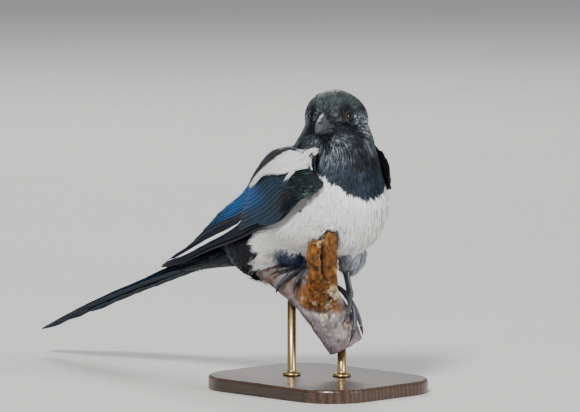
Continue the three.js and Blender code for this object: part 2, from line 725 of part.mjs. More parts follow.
// Assembly
const magpie = new THREE.Group();
magpie.position.z = PERCH_HEIGHT;

function add(name, body, look) {
  const mesh = new THREE.Mesh(geometryOf(body), new THREE.MeshStandardMaterial(FINISHES[look]));
  mesh.name = name;
  magpie.add(mesh);
}

const rightRoom = wingRoom();
const rooms = [rightRoom, mirrored(rightRoom)];
const stub = stubBody();
const perch = branchBody().add(stub);
const perchRoom = joined([branchBody(0.5), stubBody(0.6)]);
const billRoom = joined([billBody(UPPER_BILL, GAP), billBody(LOWER_BILL, GAP)]);
const headCut = cutThrough([-10, 123], [46, 111]);
const rumpCut = cutThrough([-64, 62], [-36, -6]);
const neckCut = cutThrough([-25, 103], [54, 67]);
const lifted = (cut, amount) => cut.point.clone().addScaledVector(cut.normal, amount);
const aboveHead = halfSpace(lifted(headCut, GAP), headCut.normal);
const belowHead = halfSpace(headCut.point, headCut.normal);
const aboveNeck = halfSpace(lifted(neckCut, GAP), neckCut.normal);

const sides = { left: 1, right: -1 };
const sideNames = Object.keys(sides);
const trunk = trunkBody();
let whole = trunk.add(headBody());
for (const name of sideNames) whole = whole.add(lidBody(sides[name])).add(bristlesBody(sides[name]));
for (const name of sideNames) whole = whole.subtract(eyeBody(sides[name], GAP));
for (const room of [billRoom, ...rooms]) whole = whole.subtract(room);

add('head', largest(whole.intersect(aboveHead)), 'black');
add('neck', largest(whole.subtract(belowHead).intersect(aboveNeck)), 'black');
let torso = whole.subtract(halfSpace(neckCut.point, neckCut.normal)).subtract(perchRoom);
for (const name of sideNames) {
  for (const leg of [thighBody, shankBody, footBody]) torso = torso.subtract(leg(sides[name], GAP));
}
add('torso', largest(torso.intersect(halfSpace(lifted(rumpCut, GAP), rumpCut.normal))), 'white');
add('rump', largest(torso.subtract(halfSpace(rumpCut.point, rumpCut.normal))), 'black');
add('bill_upper', billBody(UPPER_BILL), 'bill');
add('bill_lower', billBody(LOWER_BILL), 'bill');
add('tail', tailBody(), 'tail');

const rightWing = wingBody();
add('wing_right', rightWing, 'wing');
add('wing_left', mirrored(rightWing), 'wing');

for (const name of sideNames) {
  const side = sides[name];
  add(`eye_${name}`, eyeBody(side), 'eye');
  add(`thigh_${name}`, largest(thighBody(side).subtract(shankBody(side, GAP))), 'black');
  add(`shank_${name}`, largest(shankBody(side).subtract(footBody(side, GAP))), 'leg');
  add(`foot_${name}`, largest(footBody(side).subtract(perchRoom)), 'leg');
  for (const toe of TOES) {
    add(`claw_${name}_${toe.name}`, largest(clawBody(side, toe).subtract(perchRoom)), 'leg');
  }
}

add('perch', largest(perch), 'branch');
add('stand_base', baseBody(), 'base');
add('stand_rod_rear', largest(standRod(0.3)), 'rod');
add('stand_rod_front', largest(standRod(0.94)), 'rod');

export default magpie;
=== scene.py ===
import math

import bmesh
import bpy
import numpy as np
from bpy.props import FloatProperty, FloatVectorProperty, IntProperty, PointerProperty
from mathutils import Matrix, Vector, noise
from mathutils.bvhtree import BVHTree

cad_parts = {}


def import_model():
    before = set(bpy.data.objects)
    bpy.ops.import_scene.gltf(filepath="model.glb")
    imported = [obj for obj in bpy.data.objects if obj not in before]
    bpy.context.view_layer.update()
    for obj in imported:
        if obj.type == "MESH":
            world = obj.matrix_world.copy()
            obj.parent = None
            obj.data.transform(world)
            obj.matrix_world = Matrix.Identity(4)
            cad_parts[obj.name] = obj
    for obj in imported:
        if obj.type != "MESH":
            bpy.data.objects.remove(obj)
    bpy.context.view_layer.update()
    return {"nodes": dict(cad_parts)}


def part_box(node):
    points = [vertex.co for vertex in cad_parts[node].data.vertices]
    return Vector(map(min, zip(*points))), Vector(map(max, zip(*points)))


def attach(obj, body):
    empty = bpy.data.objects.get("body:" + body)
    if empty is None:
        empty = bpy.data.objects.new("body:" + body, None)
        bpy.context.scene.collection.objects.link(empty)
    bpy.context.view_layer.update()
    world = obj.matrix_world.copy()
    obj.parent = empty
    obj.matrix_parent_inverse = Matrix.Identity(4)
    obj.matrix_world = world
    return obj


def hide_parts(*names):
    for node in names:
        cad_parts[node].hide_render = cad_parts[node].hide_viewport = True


bl_info = {
    "name": "Eurasian Magpie",
    "version": (1, 0, 0),
    "blender": (4, 5, 0),
    "location": "View3D > Sidebar > Magpie",
    "description": "Dresses the packed magpie model with skin, feathers, eyes, bill, legs, perch and stand",
    "category": "Object",
}

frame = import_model()
NODES = frame["nodes"]

# Driving places, in millimetres from the point midway between the feet, as in the part's source
MM = 0.001
PERCH_HEIGHT = 78
HEAD_PLACE = np.array([18.4, -3, 122.5])
HEAD_YAW = math.radians(-59)
HEAD_PITCH = math.radians(-2)
HEAD_ROLL = math.radians(2)
TRUNK = (  # back x and z, front x and z, half width
    (-2.5, 128, 43, 122, 21.5), (-7, 116, 48.5, 108, 26.5), (-14, 106, 50.5, 94, 32), (-27, 96, 53, 76, 40),
    (-40, 84, 57, 54, 44.5), (-52, 69, 42, 29, 44), (-62, 57, 12, 26, 40.5), (-71, 48, -18, 9, 37),
    (-79, 40, -41, -3, 31), (-86, 32, -76, 9, 17),
)
BIB_LOWEST = 72.0  # height of the bib's lower edge on the middle of the breast
BIB_SWEEP = {"right": 0.022, "left": 0.011}  # how it climbs to each side, with the square of the distance
VENT_EDGE = ((-6, -52), (5, -41), (20, -29), (32, -23), (45, -28), (62, -40))  # z, and x where the white ends
WING_UPPER = (
    (27, -22, 98), (4, -19, 99), (-24, -15, 92), (-46, -12, 79), (-62, -10, 64), (-90, -9, 47),
    (-117, -11, 22), (-146, -17.5, 3),
)
WING_LOWER = (
    (33, -30, 82), (30, -36, 74), (22, -43, 64.5), (7, -45, 50.5), (-15, -44, 43), (-42, -40, 32.5),
    (-80, -33, 21.5), (-116, -26, 9.5), (-148, -19.5, 1.5),
)
TAIL_ROOT = np.array([-82, 0, 20.5])
TAIL_SLOPE = math.radians(19)
TAIL_LENGTH = 240
TAIL_DROOP = 5
EYE_RADIUS = 4.9
THIGHS = {  # hip, knee and ankle
    "right": ((-9, -19, 39), (-5, -21, 28), (-8, -14, 18)),
    "left": ((8, 22, 37), (12, 24, 22), (13.5, 16, 8)),
}
SEED = 20


# Small tools

def unit(vectors):
    return vectors / np.maximum(np.linalg.norm(vectors, axis=-1, keepdims=True), 1e-9)


def ease(low, high, values):
    share = np.clip((values - low) / (high - low), 0, 1)
    return share * share * (3 - 2 * share)


def world(places):
    """Places in millimetres from between the feet, as metres in the row frame."""
    return np.asarray(places, float) * MM + np.array([0, 0, PERCH_HEIGHT * MM])


def local(places):
    return (np.asarray(places, float) - np.array([0, 0, PERCH_HEIGHT * MM])) / MM


def smooth_line(points, t):
    """Places on a smooth curve through the points, for t from 0 to 1."""
    points = np.asarray(points, float)
    spans = len(points) - 1
    at = np.clip(t, 0, 1) * spans
    index = np.minimum(at.astype(int), spans - 1)
    f = (at - index)[..., None]
    padded = np.vstack([2 * points[0] - points[1], points, 2 * points[-1] - points[-2]])
    a, b, c, d = (padded[index + k] for k in range(4))
    return 0.5 * (2 * b + (c - a) * f + (2 * a - 5 * b + 4 * c - d) * f**2 + (3 * b - a - 3 * c + d) * f**3)


HEAD_FORWARD = np.array([
    math.cos(HEAD_YAW) * math.cos(HEAD_PITCH),
    math.sin(HEAD_YAW) * math.cos(HEAD_PITCH),
    -math.sin(HEAD_PITCH),
])
_roll = Matrix.Rotation(HEAD_ROLL, 3, Vector(HEAD_FORWARD))
_left = np.array(_roll @ Vector(np.cross((0, 0, 1), HEAD_FORWARD)))
HEAD_LEFT = _left / np.linalg.norm(_left)
HEAD_UP = np.cross(HEAD_FORWARD, HEAD_LEFT)
EYE_AXES = {
    side: unit(0.38 * HEAD_FORWARD + sign * 0.92 * HEAD_LEFT + 0.08 * HEAD_UP)
    for side, sign in (("left", 1), ("right", -1))
}


def head_point(forward, left, up):
    return HEAD_PLACE + forward * HEAD_FORWARD + left * HEAD_LEFT + up * HEAD_UP


EYE_PLACES = {side: head_point(9.8, sign * 11.9, 4.2) for side, sign in (("left", 1), ("right", -1))}


def add_object(name, mesh, material=None, nodes=(), smooth=True):
    """A finished piece: in the scene, riding on the one body, standing for the nodes."""
    piece = bpy.data.objects.new(name, mesh)
    bpy.context.scene.collection.objects.link(piece)
    if material:
        mesh.materials.append(material)
    if smooth:
        mesh.polygons.foreach_set("use_smooth", [True] * len(mesh.polygons))
    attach(piece, "root")
    if nodes:
        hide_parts(*nodes)
    return piece


def merged_copy(nodes):
    """One bmesh of several nodes' solids, their loose triangles merged."""
    bm = bmesh.new()
    for node in nodes:
        bm.from_mesh(NODES[node].data)
    bmesh.ops.remove_doubles(bm, verts=bm.verts, dist=1e-6)
    return bm


def mesh_of(bm, name):
    """The finished shape as a mesh."""
    mesh = bpy.data.meshes.new(name)
    bm.to_mesh(mesh)
    bm.free()
    return mesh


def remeshed(nodes, voxel, rounds):
    """One even, smooth mesh round the solids of some nodes."""
    holder = bpy.data.objects.new("holder", mesh_of(merged_copy(nodes), "solid"))
    bpy.context.scene.collection.objects.link(holder)
    remesh = holder.modifiers.new("Even", "REMESH")
    remesh.mode = "VOXEL"
    remesh.voxel_size = voxel * MM
    relax = holder.modifiers.new("Relax", "SMOOTH")
    relax.factor = 0.5
    relax.iterations = rounds
    result = bpy.data.meshes.new_from_object(holder.evaluated_get(bpy.context.evaluated_depsgraph_get()))
    bpy.data.objects.remove(holder)
    return result


def mesh_places(mesh):
    places = np.empty(len(mesh.vertices) * 3)
    mesh.vertices.foreach_get("co", places)
    return local(places.reshape(-1, 3))


def mesh_normals(mesh):
    normals = np.empty(len(mesh.vertices) * 3, np.float32)
    mesh.vertices.foreach_get("normal", normals)
    return normals.reshape(-1, 3).astype(float)


def set_places(mesh, places):
    mesh.vertices.foreach_set("co", world(places).astype(np.float32).ravel())
    mesh.update()


def paint(mesh, name, colours):
    """A colour for each vertex, as an attribute that materials read."""
    rgba = np.ones((len(colours), 4), np.float32)
    rgba[:, :colours.shape[1]] = colours
    layer = mesh.color_attributes.new(name, "FLOAT_COLOR", "POINT")
    layer.data.foreach_set("color", rgba.ravel())


def paint_plumage(mesh, white, tone, colour):
    """The plumage's two attributes on a plain surface: how white it is with its tone, and its dark colour."""
    count = len(mesh.vertices)
    paint(mesh, "Plume", np.column_stack([np.broadcast_to(white, count), np.full((count, 2), tone)]))
    paint(mesh, "Tint", np.broadcast_to(colour, (count, 3)))


def tree_of(mesh, places=None):
    """A search tree of a mesh's faces, with its vertices at the given places."""
    corners = [v.co for v in mesh.vertices] if places is None else places
    return BVHTree.FromPolygons([tuple(p) for p in corners], [tuple(p.vertices) for p in mesh.polygons])


# The body's own coordinates

def trunk_lines(t):
    table = np.asarray(TRUNK, float)
    lines = smooth_line(table, np.asarray(t, float))
    return lines[..., 0:2], lines[..., 2:4], lines[..., 4]


def trunk_half(x, z):
    """Half the trunk's width at a height over a point of its length, or 0 outside it."""
    low, high = np.zeros_like(x), np.ones_like(x)
    for _ in range(18):
        t = (low + high) / 2
        back, front, _half = trunk_lines(t)
        reach = front - back
        beyond = reach[..., 0] * (z - back[..., 1]) - reach[..., 1] * (x - back[..., 0]) > 0
        high = np.where(beyond, t, high)
        low = np.where(beyond, low, t)
    back, front, half = trunk_lines(low)
    reach = front - back
    share = ((x - back[..., 0]) * reach[..., 0] + (z - back[..., 1]) * reach[..., 1]) / (reach**2).sum(-1)
    return half * np.sqrt(np.maximum(0, 1 - (2 * share - 1) ** 2))


_steps = np.linspace(0, 1, 61)
_backs, _fronts, _halves = trunk_lines(_steps)
_middle = (_backs + _fronts) / 2
AXIS = np.stack([_middle[:, 0], np.zeros(61), _middle[:, 1]], 1)
AXIS_ALONG = unit(np.gradient(AXIS, axis=0))


def body_frame(places):
    """For each place: its share of the way down the trunk, its angle round it from the back, and the
    direction of the trunk there."""
    gap = places[:, None, :] - AXIS[None]
    nearest = (gap**2).sum(-1).argmin(1)
    along = AXIS_ALONG[nearest]
    off = places - AXIS[nearest]
    back = unit(np.stack([_backs[nearest, 0], np.zeros(len(places)), _backs[nearest, 1]], 1) - AXIS[nearest])
    return _steps[nearest], np.arctan2(off[:, 1], (off * back).sum(1)), along


def rough(places, scale, seed=0):
    """Smooth noise from -1 to 1 at each place."""
    shift = Vector((seed * 7.3, seed * 3.1, seed * 5.7))
    return np.array([noise.noise(Vector(p) / scale + shift) for p in places])


def segment_gap(places, ends):
    """Distance from places to a line of points."""
    best = np.full(len(places), 1e9)
    for a, b in zip(ends[:-1], ends[1:]):
        a, b = np.asarray(a, float), np.asarray(b, float)
        t = np.clip(((places - a) @ (b - a)) / ((b - a) @ (b - a)), 0, 1)
        best = np.minimum(best, np.linalg.norm(places - a - t[:, None] * (b - a), axis=1))
    return best


def thigh_share(places, side=None):
    """1 on the lower thighs, or on one of them, and 0 on the body."""
    gap = np.min([segment_gap(places, THIGHS[name][1:]) for name in THIGHS if side in (None, name)], axis=0)
    return ease(13, 10, gap)


def above_bib_edge(places):
    """How far places lie above the lower edge of the black bib."""
    sweep = np.where(places[:, 1] < 0, BIB_SWEEP["right"], BIB_SWEEP["left"])
    return places[:, 2] - BIB_LOWEST - sweep * places[:, 1] ** 2


def ahead_of_vent(places):
    """How far places lie ahead of the rear edge of the white belly."""
    heights, edge = np.array(VENT_EDGE, float).T
    return places[:, 0] - np.interp(places[:, 2], heights, edge)


def whiteness(places):
    """1 where the plumage is white, 0 where it is black."""
    _, angle, _ = body_frame(places)
    ragged = 1.6 * rough(places, 5.0, 1) + 0.8 * rough(places, 1.8, 2)
    below_bib = ease(-0.5, 0.5, -above_bib_edge(places) + ragged)
    ahead = ease(-0.5, 0.5, ahead_of_vent(places) + ragged)
    ventral = ease(1.15, 1.35, np.abs(angle))
    return below_bib * ahead * ventral * (1 - thigh_share(places))


# Materials

class Surface:
    """A material in the making: one Principled shader and the nodes that feed it."""

    def __init__(self, name, roughness, metallic=0.0, **constants):
        self.material = bpy.data.materials.new(name)
        self.material.use_nodes = True
        self.tree = self.material.node_tree
        self.sockets = self.tree.nodes["Principled BSDF"].inputs
        self.feed("Roughness", roughness)
        self.feed("Metallic", metallic)
        for socket, value in constants.items():
            self.feed(socket.replace("_", " ").title().replace("Ior", "IOR"), value)
        self.places = self.node("ShaderNodeTexCoord").outputs["Object"]

    def feed(self, socket, value):
        """Sets a socket, the shader's own if it is given by name, or links it to another node's."""
        socket = self.sockets[socket] if isinstance(socket, str) else socket
        if isinstance(value, bpy.types.NodeSocket):
            self.tree.links.new(value, socket)
        else:
            socket.default_value = value

    def node(self, kind, inputs=(), **values):
        made = self.tree.nodes.new(kind)
        for key, value in values.items():
            setattr(made, key, value)
        for key, value in dict(inputs).items():
            self.feed(made.inputs[key], value)
        return made

    def math(self, operation, a, b=0.0):
        return self.node("ShaderNodeMath", {0: a, 1: b}, operation=operation).outputs[0]

    def add(self, a, b):
        return self.math("ADD", a, b)

    def times(self, a, b):
        return self.math("MULTIPLY", a, b)

    def mix(self, factor, a, b, blend="MIX"):
        made = self.node("ShaderNodeMix", {}, data_type="RGBA", blend_type=blend)
        for index, value in ((0, factor), (6, a), (7, b)):
            self.feed(made.inputs[index], value)
        return made.outputs[2]

    def ramp(self, value, *stops):
        """A colour for each value, from stops of a value and its colour."""
        made = self.node("ShaderNodeValToRGB", {0: value})
        elements = made.color_ramp.elements
        while len(elements) < len(stops):
            elements.new(0.5)
        for element, (place, colour) in zip(elements, stops):
            element.position = place
            element.color = (*colour, 1)
        return made.outputs[0]

    def attribute(self, name, output="Fac"):
        return self.node("ShaderNodeAttribute", attribute_name=name).outputs[output]

    def split(self, colour):
        return self.node("ShaderNodeSeparateColor", {0: colour}).outputs

    def stretched(self, scale, vector=None):
        return self.node("ShaderNodeMapping", {"Vector": vector or self.places, "Scale": scale}).outputs[0]

    def noise(self, vector, scale, detail=4.0, roughness=0.5):
        values = {"Vector": vector, "Scale": scale, "Detail": detail, "Roughness": roughness}
        return self.node("ShaderNodeTexNoise", values).outputs["Fac"]

    def bump(self, height, distance, strength=1.0):
        values = {"Height": height, "Distance": distance * MM, "Strength": strength}
        self.feed("Normal", self.node("ShaderNodeBump", values).outputs[0])


BLACK, WHITE = (0, 0, 0), (1, 1, 1)


def plumage_material(name, gloss, vane=False, specular=0.24):
    """Feathers: the painted tint, whitened where the plumage is white, finely barred by their barbs."""
    new = Surface(
        name, 0.4, sheen_weight=0.0 if vane else 0.03, sheen_roughness=0.4, specular_ior_level=specular,
    )
    white, tone, along = new.split(new.attribute("Plume", "Color"))[:3]
    grain = new.noise(new.places, 900.0, 3.0)
    lightness = new.times(new.add(new.times(tone, 0.9), 0.55), new.add(grain, 0.5))
    grey = new.node("ShaderNodeCombineColor", {0: lightness, 1: lightness, 2: lightness}).outputs[0]
    dark = new.mix(1.0, new.attribute("Tint", "Color"), grey, "MULTIPLY")
    pale = new.ramp(
        new.add(new.times(tone, 0.5), new.times(along, 0.5)),
        (0.0, (0.62, 0.61, 0.60)), (0.45, (0.84, 0.84, 0.83)), (1.0, (0.93, 0.93, 0.92)),
    )
    new.feed("Base Color", new.mix(white, dark, pale))
    new.feed("Metallic", new.times(new.math("SUBTRACT", 1.0, white), gloss))
    new.feed("Roughness", new.add(new.add(new.times(white, 0.4), new.times(grain, 0.35)), 0.24))
    if vane:
        uv = new.node("ShaderNodeUVMap", uv_map="Vane").outputs[0]
        across, down = new.node("ShaderNodeSeparateXYZ", {0: uv}).outputs[:2]
        slant = new.math("SUBTRACT", down, new.times(new.math("ABSOLUTE", across), 0.7))
        barbs = new.math("SINE", new.times(slant, 9.0))
        streak = new.noise(new.stretched((0.9, 0.12, 1.0), uv), 3.0, 2.0)
        new.bump(new.add(barbs, new.times(streak, 2.0)), 0.05, 0.5)
    else:
        new.bump(grain, 0.08, 0.5)
    return new.material


def eye_material():
    """A black pupil and a dark brown iris under a wet coat."""
    new = Surface("Wet eye", 0.2, specular_ior_level=0.0, coat_weight=0.8, coat_roughness=0.01)
    pupil = (0.0005, 0.0005, 0.0005)
    colour = new.ramp(
        new.attribute("Iris"), (0.0, pupil), (0.15, pupil), (0.17, (0.015, 0.007, 0.004)),
        (0.26, (0.030, 0.014, 0.008)), (0.3, (0.003, 0.002, 0.002)),
    )
    streaks = new.ramp(new.noise(new.places, 2500.0), (0.3, (0.3, 0.3, 0.3)), (0.7, WHITE))
    new.feed("Base Color", new.mix(0.5, colour, new.mix(1.0, colour, streaks, "MULTIPLY")))
    return new.material


def lid_material():
    """Bare dark skin with pale specks."""
    new = Surface("Eyelid skin", 0.7)
    spots = new.noise(new.places, 1800.0)
    new.feed("Base Color", new.ramp(spots, (0.58, (0.008, 0.009, 0.011)), (0.66, (0.26, 0.27, 0.29))))
    new.bump(spots, 0.15)
    return new.material


def horn_material(name, dark, pale, roughness=0.32):
    """Horn with a long grain and greyer patches, which on the bill are partly greyer horn and partly a
    painted sheen, and pale at the painted corners of the gape.
    """
    new = Surface(name, roughness, coat_weight=0.2, coat_roughness=0.25)
    long_grain = new.noise(new.stretched((1.0, 0.45, 2.2)), 700.0, 5.0)
    patches = new.noise(new.places, 330.0, 6.0, 0.65)
    # on the bill the pale patches are partly greyer horn, partly a painted sheen
    shade = new.mix(new.ramp(patches, (0.38, BLACK), (0.68, WHITE)), (*dark, 1), (*pale, 1))
    new.feed("Base Color", new.mix(new.attribute("Gape"), shade, (0.42, 0.38, 0.36, 1)))
    new.feed("Roughness", new.add(new.times(long_grain, 0.3), roughness - 0.12))
    new.bump(new.add(long_grain, patches), 0.3, 0.8)
    return new.material


def leg_material():
    """Black scaled skin: rings of scutes across the toes, small scales between, and blue-grey spots that are
    partly a painted sheen.
    """
    new = Surface("Scaled skin", 0.4, coat_weight=0.5, coat_roughness=0.22)
    waves = new.math("ABSOLUTE", new.math("SINE", new.times(new.attribute("Reach"), 3.1)))
    rings = new.math("POWER", waves, 0.35)
    grid = {"Vector": new.places, "Scale": 1100.0}
    cells = new.node("ShaderNodeTexVoronoi", grid, feature="DISTANCE_TO_EDGE").outputs[0]
    spots = new.noise(new.places, 300.0)
    # painted sheen: the paler blue-grey spots stand partly for light on the glossy black skin
    base = new.mix(spots, (0.016, 0.019, 0.025, 1), (0.085, 0.098, 0.12, 1))
    new.feed("Base Color", new.mix(rings, (0.006, 0.007, 0.009, 1), base))
    new.feed("Roughness", new.add(new.times(spots, 0.25), 0.25))
    new.bump(new.add(rings, new.times(cells, 0.8)), 0.35)
    return new.material


def bark_material():
    """Weathered bark, with the painted places where the wood is broken open, where the bark is thin, and
    where it cracks; the pale wood also stands for painted sunlight on the branch's right side, and the crack
    colour for painted shade in the stub's groove.
    """
    new = Surface("Branch", 0.8, specular_ior_level=0.3)
    opened_and_sunlit, thin, cracks_and_shade = new.split(new.attribute("Wood", "Color"))[:3]
    patches = new.noise(new.places, 60.0, 8.0, 0.65)
    fine = new.noise(new.stretched((1.0, 1.0, 0.35)), 420.0, 8.0, 0.7)
    streaked = new.noise(new.stretched((1.0, 1.0, 0.22)), 190.0, 9.0, 0.72)
    bark = new.ramp(
        patches, (0.28, (0.05, 0.03, 0.02)), (0.4, (0.19, 0.12, 0.085)), (0.52, (0.27, 0.235, 0.26)),
        (0.7, (0.58, 0.50, 0.45)),
    )
    orange = new.ramp(
        streaked, (0.32, (0.018, 0.011, 0.004)), (0.45, (0.095, 0.045, 0.012)), (0.57, (0.28, 0.118, 0.026)),
        (0.7, (0.52, 0.27, 0.08)),
    )
    rusty = new.ramp(fine, (0.35, (0.115, 0.036, 0.008)), (0.65, (0.46, 0.16, 0.028)))
    orange = new.mix(new.ramp(patches, (0.45, BLACK), (0.6, WHITE)), orange, rusty)
    wood = new.ramp(fine, (0.3, (0.36, 0.22, 0.10)), (0.5, (0.72, 0.58, 0.38)), (0.7, (0.9, 0.82, 0.66)))
    # pale wood where the wood is broken open, and as painted sunlight on the branch's right side
    colour = new.mix(opened_and_sunlit, new.mix(thin, bark, orange), wood)
    # dark cracks, and painted shade in the stub's groove and seam
    new.feed("Base Color", new.mix(cracks_and_shade, colour, (0.02, 0.012, 0.008, 1)))
    new.feed("Roughness", new.add(new.times(fine, 0.35), 0.55))
    new.bump(new.add(fine, new.times(streaked, 2.0)), 1.0)
    return new.material


def varnished_material(colour):
    """Varnished wood with its rings and pores along its length."""
    new = Surface("Varnished wood", 0.35, coat_weight=0.4, coat_roughness=0.15)
    waves = {"Vector": new.stretched((0.35, 3.0, 1.0)), "Scale": 26.0, "Distortion": 6.0, "Detail": 4.0}
    rings = new.node("ShaderNodeTexWave", waves, bands_direction="Y").outputs["Fac"]
    pores = new.noise(new.stretched((0.06, 1.4, 1.0)), 900.0)
    shade = new.mix(rings, (*(0.35 * c for c in colour), 1), (*colour, 1))
    deep = new.ramp(pores, (0.35, WHITE), (0.5, BLACK))
    new.feed("Base Color", new.mix(deep, shade, (0.01, 0.006, 0.004, 1)))
    new.bump(pores, 0.06, 0.4)
    return new.material


def brass_material():
    """Brass with fine marks round the rods."""
    new = Surface("Brushed brass", 0.3, metallic=1.0)
    marks = new.noise(new.stretched((1.0, 1.0, 0.02)), 2500.0)
    new.feed("Base Color", new.ramp(marks, (0.2, (0.42, 0.29, 0.12)), (0.8, (0.62, 0.46, 0.22))))
    new.feed("Roughness", new.add(new.times(marks, 0.2), 0.2))
    return new.material


def floor_material():
    """A pale floor with hardly any pattern."""
    new = Surface("Pale floor", 0.8)
    spots = new.noise(new.places, 3.0)
    new.feed("Base Color", new.ramp(spots, (0.3, (0.62, 0.61, 0.59)), (0.7, (0.66, 0.65, 0.63))))
    return new.material


# Skin and coat

FLESH = ("head", "neck", "torso", "rump", "thigh_left", "thigh_right")  # the nodes that the skin replaces
FILLED = ("bill_upper", "bill_lower", "eye_left", "eye_right")  # closed over under the skin


def build_skin():
    """One smooth skin round the flesh, drawn in by the coat's depth."""
    mesh = remeshed(FLESH + FILLED, 1.5, 5)
    places, normals = mesh_places(mesh), mesh_normals(mesh)
    set_places(mesh, places - normals * coat_depth(places)[:, None])
    return mesh


def head_share(places):
    """1 on the head, 0 below the throat."""
    off = places - HEAD_PLACE
    return ease(-24, -10, off @ HEAD_UP) * ease(46, 38, np.linalg.norm(off, axis=1))


def eye_gaps(places):
    """Distances from places to the nearer eye."""
    return np.min([np.linalg.norm(places - eye, axis=1) for eye in EYE_PLACES.values()], axis=0)


def coat_depth(places):
    face = ease(2, 22, (places - HEAD_PLACE) @ HEAD_FORWARD) * head_share(places)
    return 2.2 - 1.0 * head_share(places) - 0.7 * face


def lie(places, normals):
    """The direction in which feathers lie: from the bill over the head, down the body, along the thighs."""
    _, _, along = body_frame(places)
    on_head = head_share(places)[:, None]
    flow = on_head * unit(places - head_point(24, 0, -1)) + (1 - on_head) * along
    for _hip, knee, ankle in THIGHS.values():
        near = ease(13, 9, segment_gap(places, (knee, ankle)))[:, None]
        flow = near * unit(np.subtract(ankle, knee)) + (1 - near) * flow
    return unit(flow - normals * (flow * normals).sum(1, keepdims=True))


def head_regions(places):
    """Shares of the crown's painted sheen, the cheeks' painted highlight streaks, the dark lores and the
    throat, for each place.
    """
    off = places - HEAD_PLACE
    forward, left, height = off @ HEAD_FORWARD, off @ HEAD_LEFT, off @ HEAD_UP
    head = head_share(places)
    eye_gap = eye_gaps(places)
    lores = head * ease(12, 6, eye_gap) * ease(4, 12, forward)
    crown = head * ease(6, 12, height) * ease(-16, -4, forward) * (1 - ease(16, 21, np.abs(left)))
    cheek = head * ease(9, 3, height) * ease(15, 8, forward) * ease(5, 11, np.abs(left))
    cheek *= ease(4.5, 7, eye_gap)
    throat = ease(-6, -10, height) * ease(-30, -20, height) * ease(-6, 4, forward) * (1 - cheek)
    throat *= ease(21, 14, np.abs(left))
    return crown * (1 - lores), cheek, lores, throat


def tint(places):
    """The colour of the dark plumage: blue-black, with painted sheen on the crown, cheeks, bib, throat and
    right thigh, and painted shade that turns the left thigh's white feathers grey.
    """
    crown, cheek, lores, throat = head_regions(places)
    patches = rough(places, 7.0, 3) * 0.5 + 0.5
    specks = np.clip(rough(places, 1.6, 4) * 0.9 + 0.5, 0, 1)
    bib = ease(2, -8, above_bib_edge(places) - 26) * ease(10, 22, places[:, 0])
    painted_sheens_and_shade = (
        # painted sheen: grey-green gloss on the crown, pale specks on the cheeks and throat, blue on the bib
        # and on the right thigh
        (crown * (0.3 + 1.9 * specks * patches), (0.058, 0.078, 0.070)),
        (cheek * (0.3 + 0.8 * specks), (0.012, 0.015, 0.018)),
        (bib * (0.35 + 0.75 * patches), (0.014, 0.026, 0.039)),
        (throat * (0.4 + 0.6 * specks), (0.004, 0.005, 0.006)),
        (thigh_share(places, "right") * (0.3 + 0.7 * patches), (0.020, 0.034, 0.110)),
        # painted shade: the left thigh painted grey, for its white feathers lying in shade
        (thigh_share(places, "left"), (0.30, 0.31, 0.33)),
    )
    colours = np.tile(np.array([0.0045, 0.006, 0.0105]), (len(places), 1))
    for share, sheen in painted_sheens_and_shade:
        colours += share[:, None] * np.array(sheen)
    return colours * (1 - 0.75 * lores[:, None])


def streaks(places):
    """How much paler single strands are, where the shafts catch the light."""
    crown, cheek, lores, throat = head_regions(places)
    thigh = thigh_share(places, "left")
    return 0.06 + 0.5 * crown + 5.0 * cheek + 2.6 * throat + 5.0 * thigh - 0.05 * lores


def unwrap(places):
    """Places on an unwrap of the skin round the body's own axis."""
    down, angle, _ = body_frame(places)
    return np.stack([0.05 + 0.9 * (angle / (2 * math.pi) + 0.5), 0.05 + 0.9 * down], 1)


def tuft_sizes(count, *columns):
    """For each tuft its length, half width, height over the skin at its middle, and more at its tip."""
    return np.stack([np.broadcast_to(column, count) for column in columns], 1)


# painted highlight: the colour added to single strands where their shafts catch the light
SHAFT_HIGHLIGHT_COLOUR = np.array([0.105, 0.118, 0.124])
ROWS = np.array([0.0, 0.34, 0.68, 1.0])  # places along a strand
ROW_WIDTHS = np.array([0.7, 1.0, 0.75, 0.0])  # and its width there
CORNERS = 7  # two for each row of a strand, and its tip
BAKE_PATCH = 0.003  # the side of a tuft's patch on the unwrap


def settled(tree, places):
    """The nearest places on a surface, and its normals there."""
    spots, normals = np.empty_like(places), np.empty_like(places)
    for i, place in enumerate(places):
        spot, normal, _, _ = tree.find_nearest(Vector(place))
        spots[i], normals[i] = spot, normal
    return spots, normals


